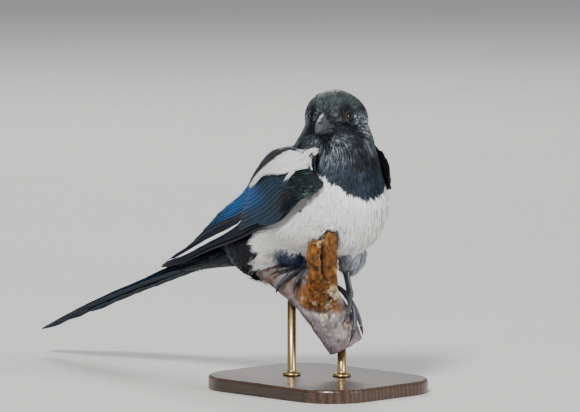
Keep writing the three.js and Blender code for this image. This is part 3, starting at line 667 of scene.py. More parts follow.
def strand_mesh(name, tree, roots, normals, flow, size, strands, rng, white, tints, streak=0.0):
    """Tufts of tapered strands that lie along a surface; size has a row of tuft_sizes for each, and streak
    sets how strong the painted highlight along single strands' shafts is.
    """
    count, total = len(roots), len(roots) * strands
    length, half, rise, flare = size.T
    spine, outs = [roots - normals * 0.3], [normals]
    for share in ROWS[1:]:
        spots, out = settled(tree, roots + flow * (length * share)[:, None])
        lift = rise * math.sin(min(1.0, share * 1.6) * math.pi / 2) + flare * share**2
        spine.append(spots + out * lift[:, None])
        outs.append(out)
    spine, outs = np.stack(spine, 1), np.stack(outs, 1)
    beside = unit(np.cross(outs, unit(np.gradient(spine, axis=1))))
    each = (count, strands)
    s = (np.linspace(-1, 1, strands) if strands > 1 else 0) + rng.uniform(-0.25, 0.25, each)
    cut = 1 - 0.22 * s**2 + rng.uniform(-0.14, 0.1, each)
    lift = rng.uniform(-0.12, 0.12, each) * rise[:, None] - 0.25 * s**2 * rise[:, None]
    fan = 0.6 + 0.4 * ROWS
    back = spine[:, None, :1]
    centre = back + (spine[:, None] - back) * cut[..., None, None]
    centre = centre + beside[:, None] * (s[..., None] * half[:, None, None] * fan)[..., None]
    centre = centre + outs[:, None] * (lift[..., None] * ROWS)[..., None]
    blade = half[:, None, None, None] / max(strands - 0.6, 0.6) * 0.95 * ROW_WIDTHS[:, None]
    twist = rng.uniform(-0.35, 0.35, (count, strands, 1, 1))
    edge = beside[:, None] * blade + outs[:, None] * blade * twist
    sides = np.stack([centre - edge, centre + edge], 3)[:, :, :3].reshape(count, strands, CORNERS - 1, 3)
    points = np.concatenate([sides, centre[:, :, 3:]], 2).reshape(-1, 3)
    mesh = strand_faces(name, points, total)
    along = np.tile(np.append(np.repeat(ROWS[:3], 2), 1.0), total)
    tone = rng.normal(0.5, 0.22, (count, 1)) + rng.uniform(-0.15, 0.15, each)
    tone = np.repeat(np.clip(tone, 0, 1).ravel(), CORNERS)
    white = np.repeat(np.broadcast_to(white, count), strands * CORNERS)
    paint(mesh, "Plume", np.stack([white, tone, along], 1))
    # painted highlight: a few strands paler along their shafts, as strongly as streak says
    pale = (np.broadcast_to(streak, count)[:, None] * rng.random(each) ** 4).reshape(-1, 1)
    tints = np.repeat(np.broadcast_to(tints, (count, 3)), strands, 0)
    paint(mesh, "Tint", np.repeat(tints + pale * SHAFT_HIGHLIGHT_COLOUR, CORNERS, 0))
    across = np.tile(np.array([0, 1, 0, 1, 0, 1, 0.5]), total)
    uv = np.repeat(unwrap(roots), strands * CORNERS, 0) + np.stack([across, along], 1) * BAKE_PATCH
    add_uv(mesh, "OFBake", uv)
    return mesh


def strand_faces(name, points, total):
    """The mesh of all strands, each two four-sided faces and a tip of three."""
    first = np.arange(total)[:, None] * CORNERS
    quads = np.concatenate([first + [0, 1, 3, 2], first + [2, 3, 5, 4]])
    tips = first + [4, 5, 6]
    mesh = bpy.data.meshes.new(name)
    mesh.vertices.add(total * CORNERS)
    mesh.vertices.foreach_set("co", world(points).astype(np.float32).ravel())
    mesh.loops.add(quads.size + tips.size)
    mesh.loops.foreach_set("vertex_index", np.concatenate([quads.ravel(), tips.ravel()]).astype(np.int32))
    mesh.polygons.add(len(quads) + len(tips))
    starts = np.concatenate([np.arange(len(quads)) * 4, quads.size + np.arange(total) * 3])
    mesh.polygons.foreach_set("loop_start", starts.astype(np.int32))
    mesh.update(calc_edges=True)
    return mesh


def add_uv(mesh, name, vertex_uv):
    layer = mesh.uv_layers.new(name=name)
    loops = np.empty(len(mesh.loops), np.int32)
    mesh.loops.foreach_get("vertex_index", loops)
    layer.data.foreach_set("uv", vertex_uv[loops].astype(np.float32).ravel())


def covered(places, normals, trees, reach):
    """True where a wing lies over the skin."""
    return np.array([
        any(tree.ray_cast(Vector(p), Vector(n), reach)[0] is not None for tree in trees)
        for p, n in zip(places, normals)
    ])


def sampled(mesh, per_square):
    """Seeded random places on a triangulated copy of a mesh, with the normals there."""
    bm = bmesh.new()
    bm.from_mesh(mesh)
    bmesh.ops.triangulate(bm, faces=bm.faces)
    corners = local(np.array([[v.co[:] for v in face.verts] for face in bm.faces]))
    normals = np.array([face.normal[:] for face in bm.faces])
    bm.free()
    rng = np.random.default_rng(SEED)
    first, second, third = corners.transpose(1, 0, 2)
    areas = np.linalg.norm(np.cross(second - first, third - first), axis=1) / 2
    count = int(areas.sum() * per_square)
    picked = rng.choice(len(areas), count, p=areas / areas.sum())
    a, b = np.sqrt(rng.random((count, 1))), rng.random((count, 1))
    places = first[picked] * (1 - a) + second[picked] * a * (1 - b) + third[picked] * a * b
    return places, normals[picked]


def thinned(places, spacing):
    """The first place in each cell of a grid, so that the rest keep about even gaps."""
    cells = np.floor(places / spacing).astype(int)
    return np.sort(np.unique(cells, axis=0, return_index=True)[1])


# Wings

LINING = 0.8  # thickness of the sheets that the feathers lie on
WING_BULGE = (7.5, 1.0)
WING_LIFT = (-5.0, -1.5)
STEP = 0.01


def blend_values(a, b, share):
    return a + (b - a) * share


def wing_sheet(s, c):
    """The right wing's middle surface; s runs from shoulder to tip, c from its upper to its lower edge."""
    s, c = np.broadcast_arrays(np.asarray(s, float), np.asarray(c, float))
    upper, lower = smooth_line(WING_UPPER, s), smooth_line(WING_LOWER, s)
    edges = (WING_UPPER, WING_LOWER)
    ahead = sum(smooth_line(line, s + STEP) - smooth_line(line, s - STEP) for line in edges)
    out = unit(np.cross(ahead, lower - upper))
    bulge = blend_values(*WING_BULGE, s) * 4 * c * (1 - c)
    spot = blend_values(upper, lower, c[..., None]) + out * bulge[..., None]
    half = trunk_half(spot[..., 0], spot[..., 2])
    lift = blend_values(*WING_LIFT, np.minimum(1, 2.2 * s))
    spot[..., 1] = np.where(half > 0, np.minimum(spot[..., 1], -half - lift), spot[..., 1])
    return spot


def wing_out(s, c):
    s, c = np.broadcast_arrays(np.asarray(s, float), np.asarray(c, float))
    s, c = np.clip(s, STEP, 1 - STEP), np.clip(c, STEP, 1 - STEP)
    down_wing = wing_sheet(s + STEP, c) - wing_sheet(s - STEP, c)
    down_chord = wing_sheet(s, c + STEP) - wing_sheet(s, c - STEP)
    return unit(np.cross(down_wing, down_chord))


def wing_base(s):
    return blend_values(2.4, 1.0, np.minimum(1, s / 0.6))


FEATHER_COLUMNS = np.array([-1, -0.72, -0.4, -0.07, 0, 0.07, 0.4, 0.72, 1])
SHAFT_COLUMN = 4


def feather_mesh(name, feathers, rows, mirror=False, columns=FEATHER_COLUMNS):
    """Joined vane feathers. Each is a dict: spine and out (functions of t from 0 at the root to 1 at
    the tip), half (half width), vanes (share of the width on each side), lean (height across it), tip
    (how deep the tip is rounded), and paint (a function of t and u, -1 to 1 across the vane, that gives
    white, tone and tint)."""
    grid_t = np.linspace(0, 1, rows)
    places, plume, tints, vane_uv, bake_uv, faces = [], [], [], [], [], []
    side = math.ceil(math.sqrt(len(feathers)))
    rng = np.random.default_rng(SEED + len(name))
    u, count = columns, len(columns)
    quad = np.array([
        (r * count + k, r * count + k + 1, (r + 1) * count + k + 1, (r + 1) * count + k)
        for r in range(rows - 1) for k in range(count - 1)
    ])
    for index, feather in enumerate(feathers):
        shape = 1 - feather["tip"] * np.abs(u) ** 2.6 + rng.uniform(-0.006, 0.006, count)
        t = grid_t[:, None] * shape[None]
        spine, out = feather["spine"](t), feather["out"](t)
        along = unit(feather["spine"](t + 0.01) - feather["spine"](t - 0.01))
        across = unit(np.cross(out, along))
        wide = feather["half"] * (0.45 + 0.55 * ease(0, 0.25, t)) * (1 - 0.28 * ease(0.6, 1.05, t))
        if feather.get("pointed"):
            wide = feather["half"] * (1.02 - np.abs(2 * t - 1) ** 2.2)
        inner, outer = feather["vanes"]
        reach = np.where(u < 0, u * inner, u * outer)[None] * wide
        height = feather["lean"] * u[None] * ease(0.0, 0.2, t) + 0.06 * wide * (1 - u[None] ** 2)
        height = height + np.where(np.arange(count) == SHAFT_COLUMN, 0.22, 0)[None] * (1 - 0.7 * t)
        ripple = 0.12 * np.sin(t * 40 + u[None] * 5 + index) * np.abs(u[None])
        spots = spine + across * reach[..., None] + out * (height + ripple)[..., None]
        white, tone, colour = feather["paint"](t, u[None] * np.ones_like(t))
        if mirror:
            spots = spots * np.array([1, -1, 1])
        places.append(spots.reshape(-1, 3))
        plume.append(np.stack([white, tone, t], -1).reshape(-1, 3))
        tints.append(colour.reshape(-1, 3))
        length = np.linalg.norm(feather["spine"](np.array(1.0)) - feather["spine"](np.array(0.0)))
        vane_uv.append(np.stack([reach, t * length], -1).reshape(-1, 2))
        cell = np.array([index % side, index // side]) / side
        flat = np.stack([0.05 + 0.9 * (u[None] + 1) / 2 * np.ones_like(t), 0.05 + 0.9 * t], -1)
        bake_uv.append((cell + flat / side).reshape(-1, 2))
        faces.append((quad[:, ::-1] if mirror else quad) + index * rows * count)
    mesh = bpy.data.meshes.new(name)
    mesh.from_pydata(world(np.concatenate(places)).tolist(), [], np.concatenate(faces).tolist())
    paint(mesh, "Plume", np.concatenate(plume))
    paint(mesh, "Tint", np.concatenate(tints))
    add_uv(mesh, "OFBake", np.concatenate(bake_uv))
    add_uv(mesh, "Vane", np.concatenate(vane_uv))
    return mesh


def wing_feather(root, tip, half, rise, lean, paint_at, vanes=(1, 1), tip_depth=0.12, bow=0.0):
    """A feather along the wing's own chart, from root (s, c) to tip; rise is its height at each end."""
    root, tip = np.asarray(root, float), np.asarray(tip, float)

    def chart(t):
        spot = root + (tip - root) * t[..., None]
        return spot[..., 0], spot[..., 1] + bow * 4 * t * (1 - t)

    def out(t):
        return wing_out(*chart(np.clip(t, 0, 1)))

    def spine(t):
        s, c = chart(t)
        height = blend_values(rise[0], rise[1], t)
        return wing_sheet(np.clip(s, -0.05, 1.0), c) + out(t) * height[..., None]

    def painted(t, u):
        s, c = chart(t)
        reach = np.linalg.norm(wing_sheet(tip[0], 1.0) - wing_sheet(tip[0], 0.0))
        return paint_at(s, c + u * half / max(reach, 20.0), t, u)

    return {
        "spine": spine, "out": out, "half": half, "vanes": vanes, "lean": lean, "tip": tip_depth,
        "paint": painted,
    }


# Tiers of a folded wing: places of the first and the last feather's root and tip on the wing's chart,
# half width, height over the base, how much higher the first one lies, and lean, in millimetres
WING_TIERS = {
    "primaries": (10, (0.4, 0.66), (0.93, 0.36), (0.34, 0.88), (0.985, 0.78), 4.4, 0.0, 2.0, 0.6),
    "secondaries": (9, (0.24, 0.16), (0.56, 0.05), (0.3, 0.7), (0.88, 0.18), 5.2, 1.6, 2.1, 0.7),
    "primary_coverts": (6, (0.2, 0.76), (0.5, 0.8), (0.22, 0.9), (0.47, 0.97), 3.0, 1.4, 0.8, 0.4),
    "greater_coverts": (14, (0.14, 0.16), (0.42, 0.12), (0.16, 0.8), (0.6, 0.86), 3.6, 2.9, 1.0, 0.35),
    "median_coverts": (12, (0.07, 0.42), (0.26, 0.44), (0.07, 0.84), (0.27, 0.9), 3.1, 3.6, 0.5, 0.3),
    "alula": (3, (0.1, 0.84), (0.34, 0.93), (0.1, 0.92), (0.31, 0.99), 2.8, 2.6, 0.6, 0.3),
}
LESSER_ROWS = ((0.13, 0.24), (0.1, 0.2), (0.06, 0.17), (0.03, 0.13), (0.0, 0.1))
STRIPE = ((0.57, 0.70), (0.97, 0.62))  # the white line along the folded primaries, on the wing's chart
STRIPE_HALF = 1.75
PATCH_S = (0.0, 0.05, 0.1, 0.14, 0.2, 0.25, 0.3, 0.34, 0.4, 0.44)  # the white scapulars, on the same chart
PATCH_TOP = (0.0, 0.04, 0.12, 0.16, 0.22, 0.26, 0.28, 0.28, 0.26, 0.24)
PATCH_LOW = (0.6, 0.62, 0.58, 0.6, 0.5, 0.4, 0.37, 0.38, 0.28, 0.2)


def wing_gloss(s, c, colours):
    """The wing's colour from place to place on its chart."""
    regions = (
        (ease(0.1, 0.24, s) * ease(0.72, 0.5, s) * ease(0.2, 0.4, c), colours["steel"]),
        (ease(0.33, 0.43, s) * ease(0.78, 0.62, s) * ease(0.78, 0.45, c), colours["blue"]),
        (ease(0.62, 0.74, s) * ease(0.62, 0.25, c), colours["green"]),
        (ease(0.04, 0.12, s) * ease(0.4, 0.26, s) * ease(0.66, 0.84, c), colours["brown"]),
    )
    tints = np.ones((*np.shape(s), 1)) * np.asarray(colours["dark"])
    for share, colour in regions:
        tints = tints + share[..., None] * (np.asarray(colour) - tints)
    return tints


def vane_paint(colour, edge, tone=0.5, gloss=None):
    """Paints a feather in one colour, with another along its outer edge and tip. Where the wing's gloss
    is given, the feather has the wing's colour at that place, and colour and edge are how strong it is."""
    def painted(s, c, t, u):
        fringe = np.clip(ease(0.3, 1.0, u) * 0.85 + ease(0.85, 1.0, t) * 0.4, 0, 1)[..., None]
        tints = np.asarray(colour, float) * (1 - fringe) + np.asarray(edge, float) * fringe
        if gloss:
            tints = wing_gloss(s, c, gloss) * tints
        return np.zeros_like(t), np.clip(tone + 0.15 * np.sin(u * 3), 0, 1) * np.ones_like(t), tints

    return painted


def white_paint(s, c, t, u):
    return np.ones_like(t), 0.7 + 0.3 * t, np.full((*t.shape, 3), 0.6)


def stripe_feather():
    """The white edge of one primary, which shows as a thin pointed line."""
    start, end = STRIPE
    rise = (wing_base(start[0]) + 2.6, wing_base(end[0]) + 1.6)
    feather = wing_feather(start, end, STRIPE_HALF, rise, 0.1, white_paint, tip_depth=0.0, bow=0.12)
    return {**feather, "pointed": True}


def patch_white(s, c, ragged):
    """1 on the white scapulars."""
    below, above = c - np.interp(s, PATCH_S, PATCH_TOP), np.interp(s, PATCH_S, PATCH_LOW) - c + 0.06
    return ease(-0.012, 0.012, np.minimum(below, above) + 0.02 * ragged) * ease(0.44, 0.42, s)


def patch_front(s, mirror):
    """The far wing's white starts farther back, behind the breast."""
    return ease(0.17, 0.2, s) if mirror else 1


SCAPULAR_GRID = (65, 36)
SCAPULAR_SPACING = 1.5


def scapular_coat(name, mirror):
    """The soft white scapulars, with the black edge of the mantle above them, as tufts over the wing,
    and the pad of skin that they stand on."""
    rng = np.random.default_rng(SEED + 50)
    rows, columns = SCAPULAR_GRID
    s, c = np.meshgrid(np.linspace(-0.04, 0.6, rows), np.linspace(-0.3, 0.75, columns), indexing="ij")
    over = 1.0 + (5.2 - 3.0 * ease(0.3, 0.55, s)) * ease(-0.2, 0.06, c)
    sheet = wing_sheet(s, c) + wing_out(s, c) * (wing_base(np.clip(s, 0, 1)) + over)[..., None]
    sheet = sheet * ([1, -1, 1] if mirror else [1, 1, 1])
    out = unit(np.cross(np.gradient(sheet, axis=0), np.gradient(sheet, axis=1))) * (-1 if mirror else 1)
    flow = unit(np.gradient(sheet, axis=0))
    low = np.interp(s, PATCH_S, PATCH_LOW)
    corners = [i * columns + j for i in range(rows - 1) for j in range(columns - 1)]
    grid = [(k, k + columns, k + columns + 1, k + 1)[::-1 if mirror else 1] for k in corners]
    tree = BVHTree.FromPolygons([tuple(p) for p in sheet.reshape(-1, 3)], grid)

    padded = ((s > 0.02) & (s < 0.45) & (c < low - 0.02) & (c > -0.2)).ravel()
    pad = bpy.data.meshes.new(f"{name}_pad")
    kept = [quad for quad in grid if padded[list(quad)].all()]
    pad.from_pydata(world(sheet - out * 0.5).reshape(-1, 3).tolist(), [], kept)
    white = patch_white(s + 0.01, c, 0) * patch_front(s, mirror)
    paint_plumage(pad, white.ravel(), 0.6, (0.008, 0.011, 0.016))
    picked = (s < 0.45) & (c < low) & (s > (0.03 if mirror else -0.02)) & (c > -0.24)
    roots = sheet[picked] + flow[picked] * rng.uniform(-0.9, 0.9, (picked.sum(), 1))
    keep = thinned(roots, SCAPULAR_SPACING)
    roots, out, flow = roots[keep], out[picked][keep], flow[picked][keep]
    spots = s[picked][keep] + 0.03
    white = patch_white(spots, c[picked][keep], rough(roots, 4.0, 3)) * patch_front(spots, mirror)
    size = tuft_sizes(len(roots), rng.uniform(10, 14, len(roots)), 1.7, 0.8, 0.3)
    # painted highlight: 0.7 makes a few of the black mantle strands paler along their shafts
    return strand_mesh(name, tree, roots, out, flow, size, 8, rng, white, (0.006, 0.009, 0.014), 0.7), pad


def tier_feathers(tier, painter):
    """One tier of a wing's feathers, from its row in WING_TIERS."""
    count, root_a, tip_a, root_b, tip_b, half, level, pile, lean = WING_TIERS[tier]
    rng = np.random.default_rng(SEED + len(tier))
    depth = 0.05 if tier in ("primaries", "secondaries") else 0.16
    made = []
    for index in range(count):
        share = index / (count - 1)
        root = blend_values(np.array(root_a), np.array(root_b), share)
        tip = blend_values(np.array(tip_a), np.array(tip_b), share) + rng.uniform(-0.008, 0.008, 2)
        over = level + pile * (1 - share)
        rise = (wing_base(root[0]) + over - 0.4, wing_base(tip[0]) + over)
        wide = half * rng.uniform(0.95, 1.05)
        made.append(wing_feather(root, tip, wide, rise, lean, painter(index), (1.05, 0.9), depth))
    return made


LESSER_COLUMNS = 12
LESSER_HALF = 2.6
LESSER_LEVEL = 4.0
LESSER_SPREAD = (0.45, 1.0)


def lesser_feathers(painter):
    """The lesser coverts, row by row from the rear forwards, each row over the last."""
    rng = np.random.default_rng(SEED + LESSER_COLUMNS)
    made = []
    for row, (start, end) in enumerate(LESSER_ROWS):
        for column in range(LESSER_COLUMNS):
            share = (column + 0.5 * (row % 2) + 0.25) / LESSER_COLUMNS
            c = blend_values(*LESSER_SPREAD, share) + rng.uniform(-0.01, 0.01)
            root = (start + rng.uniform(-0.01, 0.01), c)
            tip = (end + rng.uniform(-0.012, 0.012), c + rng.uniform(-0.02, 0.03))
            over = LESSER_LEVEL + 0.35 * row
            rise = (wing_base(start) + over - 0.5, wing_base(end) + over)
            made.append(wing_feather(root, tip, LESSER_HALF, rise, 0.3, painter(row, column), tip_depth=0.3))
    return made


def wing_bed(name, mirror):
    """A thin dark sheet under the feathers, so that nothing shows through between them."""
    bm = bmesh.new()
    bmesh.ops.create_grid(bm, x_segments=40, y_segments=16, size=0.5)
    for vert in bm.verts:
        s, c = 0.97 * (vert.co.x + 0.5), 0.03 + 0.94 * (vert.co.y + 0.5)
        spot = wing_sheet(s, c) + wing_out(s, c) * 0.6
        vert.co = Vector(world(spot * ([1, -1, 1] if mirror else [1, 1, 1])))
    if mirror:
        bmesh.ops.reverse_faces(bm, faces=bm.faces)
    return mesh_of(bm, name)


def thicken(piece, thickness):
    """Gives a sheet its thickness, towards the inside."""
    modifier = piece.modifiers.new("Vane thickness", "SOLIDIFY")
    modifier.thickness = thickness * MM
    modifier.offset = -1.0
    modifier.use_even_offset = False


# Tail

TAIL_PAIRS = (  # reach, half width, and how far from the middle
    (240, 11, 1.5), (219, 10.5, 5), (197, 10, 10.3), (175, 9.5, 11), (153, 9, 11.8), (132, 8.5, 12.5),
)
TAIL_HIDDEN = 12  # how much of the solid's length lies inside the body
TAIL_STEP = 0.5  # each pair lies this much under the last
TAIL_ARCH = 3.6
TAIL_COVERTS = ((50, 7, 5.5), (64, 7.5, 4.5), (78, 8, 3.5), (92, 8, 2.2), (106, 7.5, 1), (118, 7, 0))
TAIL_BACK = np.array([-math.cos(TAIL_SLOPE), 0, -math.sin(TAIL_SLOPE)])
TAIL_UP = np.array([-math.sin(TAIL_SLOPE), 0, math.cos(TAIL_SLOPE)])


def on_tail(distance, left, up):
    distance, left, up = np.broadcast_arrays(distance, left, up)
    share = np.clip(distance / (TAIL_LENGTH - TAIL_HIDDEN), 0, 1)
    droop = TAIL_DROOP * share**2 - TAIL_ARCH * np.sin(math.pi * share)
    return (
        TAIL_ROOT + distance[..., None] * TAIL_BACK + (up - droop)[..., None] * TAIL_UP
        + left[..., None] * np.array([0, 1, 0])
    )


def tail_feather(root, tip, half, rise, painter, vanes=(1, 1), tip_depth=0.045):
    """A feather from root to tip, each a distance along the tail and a place to the left."""
    def spine(t):
        t = np.asarray(t, float)
        distance = blend_values(root[0], tip[0], t)
        left = blend_values(root[1], tip[1], np.sqrt(np.clip(t, 0, 1)))
        return on_tail(distance, left, blend_values(*rise, t))

    return {
        "spine": spine, "out": lambda t: np.ones((*np.shape(t), 1)) * TAIL_UP, "half": half, "vanes": vanes,
        "lean": 0.0, "tip": tip_depth, "paint": lambda t, u: painter(t, None, t, u),
    }


def tail_feathers(colour, edge):
    """The twelve vanes, each pair shorter and lower than the last, and the long coverts over their roots."""
    made, level = [], 0
    for index, (length, half, apart) in enumerate(TAIL_PAIRS):
        for side in (1, -1):
            painter = vane_paint(colour, edge, tone=0.42 + 0.1 * ((index * 2 + (side > 0)) % 3))
            root, tip = (20, side * apart * 0.5), (length - TAIL_HIDDEN, side * apart)
            vanes = (0.85, 1.0) if side > 0 else (1.0, 0.85)
            made.append(tail_feather(root, tip, half, (-level * TAIL_STEP,) * 2, painter, vanes))
            level += 1 if half > apart or side < 0 else 0
    for index, (reach, half, apart) in enumerate(TAIL_COVERTS):
        for side in (1, -1):
            rise = (6.4 - 0.7 * index, 1.7 - 0.2 * index)
            painter = vane_paint(colour * 0.4, edge * 0.4, tone=0.4)
            root, tip = (4, side * apart), (reach, side * apart * 1.2)
            made.append(tail_feather(root, tip, half, rise, painter, tip_depth=0.1))
    return made


def tail_sleeve():
    """The fleshy root of the tail under its coverts, an oval cone."""
    bm = bmesh.new()
    bmesh.ops.create_cone(bm, cap_ends=True, segments=32, radius1=1, radius2=1, depth=1)
    long_edges = [e for e in bm.edges if abs(e.verts[0].co.z - e.verts[1].co.z) > 0.5]
    bmesh.ops.subdivide_edges(bm, edges=long_edges, cuts=14)
    for vert in bm.verts:
        t = vert.co.z + 0.5
        thick, half = blend_values(10.0, 2.2, t**0.8), blend_values(14.5, 13.0, t)
        up = vert.co.y * thick - 1.6 * (1 - t) - 1.5
        vert.co = Vector(world(on_tail(-6 + t * 62, vert.co.x * half, up)))
    bmesh.ops.recalc_face_normals(bm, faces=bm.faces)
    return mesh_of(bm, "tail_root")


# Eyes, bill, legs

def turned_to_eye(bm, name, side):
    """A shape round the upright axis, set on an eye's place and axis, as a mesh."""
    turn = Vector((0, 0, 1)).rotation_difference(Vector(EYE_AXES[side])).to_matrix().to_4x4()
    bmesh.ops.transform(bm, matrix=Matrix.Translation(world(EYE_PLACES[side])) @ turn, verts=bm.verts)
    return mesh_of(bm, name)


def full_spin(bm, steps):
    """Turns a profile round the upright axis into a closed shape."""
    bmesh.ops.spin(
        bm, geom=list(bm.verts) + list(bm.edges), cent=(0, 0, 0), axis=(0, 0, 1), angle=2 * math.pi,
        steps=steps, use_merge=True,
    )
    bmesh.ops.remove_doubles(bm, verts=bm.verts, dist=1e-7)


def eye_ball(side):
    """The wet ball, with the angle from its own axis kept for the iris."""
    bm = bmesh.new()
    bmesh.ops.create_uvsphere(bm, u_segments=48, v_segments=32, radius=EYE_RADIUS * MM)
    mesh = turned_to_eye(bm, f"eyeball_{side}", side)
    away = unit(mesh_places(mesh) - EYE_PLACES[side])
    angle = np.arccos(np.clip(away @ EYE_AXES[side], -1, 1)) / math.pi
    paint(mesh, "Iris", angle[:, None] * np.ones(3))
    return mesh


LID_RISE = 3.3
LID_RADIUS = 3.95
LID_HALF = 0.32


def eyelid(side):
    """A soft ring round the eye: a small circle spun about the eye's axis."""
    bm = bmesh.new()
    circle = bmesh.ops.create_circle(bm, segments=12, radius=LID_HALF * MM)["verts"]
    bmesh.ops.rotate(bm, verts=circle, cent=(0, 0, 0), matrix=Matrix.Rotation(math.pi / 2, 3, "X"))
    bmesh.ops.translate(bm, verts=circle, vec=(LID_RADIUS * MM, 0, LID_RISE * MM))
    full_spin(bm, 64)
    for vert in bm.verts:
        vert.co.z *= 1 + 0.12 * noise.noise(vert.co * 1400)
    bmesh.ops.recalc_face_normals(bm, faces=bm.faces)
    return turned_to_eye(bm, f"eyelid_{side}", side)


BRISTLE_STARTS = (15, 24.5)  # how far ahead of the head's middle they grow
BRISTLE_REACH = (12.5, 6.0)  # and how far from its axis there


def bristle_mesh(tree, rng, count):
    """Stiff dark bristles that lie forwards over the base of the upper bill."""
    turns = rng.uniform(-1.35, 1.35, count)
    starts = rng.uniform(*BRISTLE_STARTS, count)
    wide = np.interp(starts, BRISTLE_STARTS, BRISTLE_REACH)
    rows = zip(starts, wide * np.sin(turns), wide * np.cos(turns) - 0.5)
    spots, normals = settled(tree, np.array([head_point(*row) for row in rows]))
    ahead = HEAD_FORWARD + 0.12 * rng.normal(size=(count, 3))
    flow = unit(ahead - normals * (ahead * normals).sum(1, keepdims=True))
    length = rng.uniform(6, 11, count)
    size = tuft_sizes(count, length, 0.24, 0.35, rng.uniform(0.05, 0.35, count))
    # painted highlight: 2.0 makes a few bristles paler along their shafts
    return strand_mesh("bristles", tree, spots, normals, flow, size, 2, rng, 0.0, (0.012, 0.013, 0.015), 2.0)


ANKLES = {side: np.array(THIGHS[side][2], float) for side in THIGHS}


def limb(nodes, name, voxel, rounds):
    """Legs, toes or claws: an even skin round the solids, with the reach from the ankle for the scutes."""
    mesh = remeshed(nodes, voxel, rounds)
    mesh.name = name
    ankle = ANKLES["left" if "left" in name else "right"]
    reach = np.linalg.norm(mesh_places(mesh) - ankle, axis=1)
    paint(mesh, "Reach", reach[:, None] * np.ones(3))
    return mesh


# Perch and stand

RIGHTWARD = np.array([0.7071, 0.7071, 0])
NEAR = np.array([0.7071, -0.7071, 0])


def perch_mesh(relief):
    """The branch with ridges in its bark, torn wood on its stub, and those places painted, with painted
    sunlight as pale wood on its right side and painted shade in the stub's groove and seam.
    """
    mesh = remeshed(["perch"], 0.9, 3)
    set_places(mesh, rounded_lobes(mesh_places(mesh)))
    places, normals = mesh_places(mesh), mesh_normals(mesh)
    stub, groove, height = stub_marks(places)

    def drawn_out(share):
        return places * np.array([1, 1, share])

    ridges = rough(drawn_out(0.6), 7.0, 5) + 0.5 * rough(places, 2.6, 6) + 0.25 * rough(places, 1.3, 7)
    torn = rough(drawn_out(0.3), 3.4, 10) + 0.7 * rough(drawn_out(0.4), 1.7, 11)
    moved = relief * (ridges + 3.4 * stub * torn) - 0.6 - 0.5 * stub - 2.2 * groove
    set_places(mesh, places + normals * moved[:, None])
    chips = rough(places, 7.0, 8) + 0.7 * rough(places, 2.2, 13)
    right, front = places @ RIGHTWARD, ease(0, 8, places @ NEAR)
    low = ease(-34, -28, height) * ease(-2, -16, height) * front
    # painted sunlight: pale wood on the right side of the branch, where the sun falls
    sunlit_edge = ease(4, 9, right) * ease(-22, -12, height) * ease(8, 0, height) * front
    top = stub * ease(30, 36, height) * ease(4, 0, right)
    # pale wood: broken open low on the front and on the stub's top, and painted sunlight on the right side
    broken = np.max([
        ease(0.35, 0.6, chips) * low, ease(-0.1, 0.2, chips) * sunlit_edge, ease(0.1, 0.4, chips) * top,
    ], axis=0)
    # dark cracks at random, darker towards the top of the stub, and painted shade in the groove between its
    # lobes and in the seam where it leaves the branch
    dark = 0.75 * ease(0.3, 0.6, rough(drawn_out(0.4), 4.0, 9)) + 0.15 * stub * ease(10, 30, height)
    dark = np.clip(dark + groove * (0.4 + 0.6 * ease(0, 20, height)), 0, 1)
    paint(mesh, "Wood", np.stack([broken, stub, dark], 1))
    return mesh


STUB_LOBES = {  # points right, near and up as the camera sees them, with the lobe's radius
    "tall": ((3, 2, -15, 13), (4, 20, 0, 11.5), (6, 36, 20, 9), (10, 46, 46, 6)),
    "short": ((1, 16, -8, 10), (0, 33, 10, 9), (-2, 42, 25, 7.5), (-2.5, 45.5, 38, 6.2)),
}


def as_seen(places):
    """Places as right, near and up of the camera."""
    return np.stack([places @ RIGHTWARD, places @ NEAR, places[:, 2]], 1)


def rounded_lobes(places):
    """The perch with the flat ends of its two lobes drawn in: one rounded, one to a blunt point."""
    seen = as_seen(places)
    centres = {name: np.array(lobe[-1][:2], float) for name, lobe in STUB_LOBES.items()}
    off = {name: np.linalg.norm(seen[:, :2] - centre, axis=1) for name, centre in centres.items()}
    nearer = np.where(off["tall"] < off["short"], "tall", "short")
    for name, (start, tip) in {"tall": (32, 50), "short": (32, 42)}.items():
        share = np.clip((seen[:, 2] - start) / (tip - start), 0, 1)
        kept = 1 - 0.6 * share if name == "tall" else np.sqrt(1 - 0.75 * share**2)
        kept = np.where((nearer == name) & (off[name] < 16), kept, 1)[:, None]
        seen[:, :2] = centres[name] + (seen[:, :2] - centres[name]) * kept
    return seen[:, :1] * RIGHTWARD + seen[:, 1:2] * NEAR + seen[:, 2:] * np.array([0, 0, 1])


def stub_marks(places):
    """1 on the broken stub, 1 in the groove between its lobes and where it leaves the branch, and height."""
    seen = as_seen(places)
    gaps = []
    for lobe in STUB_LOBES.values():
        line = np.array(lobe, float)
        reach = np.interp(seen[:, 2], line[:, 2], line[:, 3])
        gaps.append(segment_gap(seen, line[:, :3]) - reach)
    stub = ease(9, 15, seen[:, 1]) * ease(-22, -14, seen[:, 2])
    groove = ease(1.6, 0.2, np.abs(gaps[0] - gaps[1])) * ease(2, 12, seen[:, 2]) * stub
    seam = ease(0.0, 0.5, stub) * ease(1.0, 0.5, stub)
    return stub, np.maximum(groove, 0.5 * seam), seen[:, 2]


BASE_CORNER = 34
BASE_RIM = 2.2


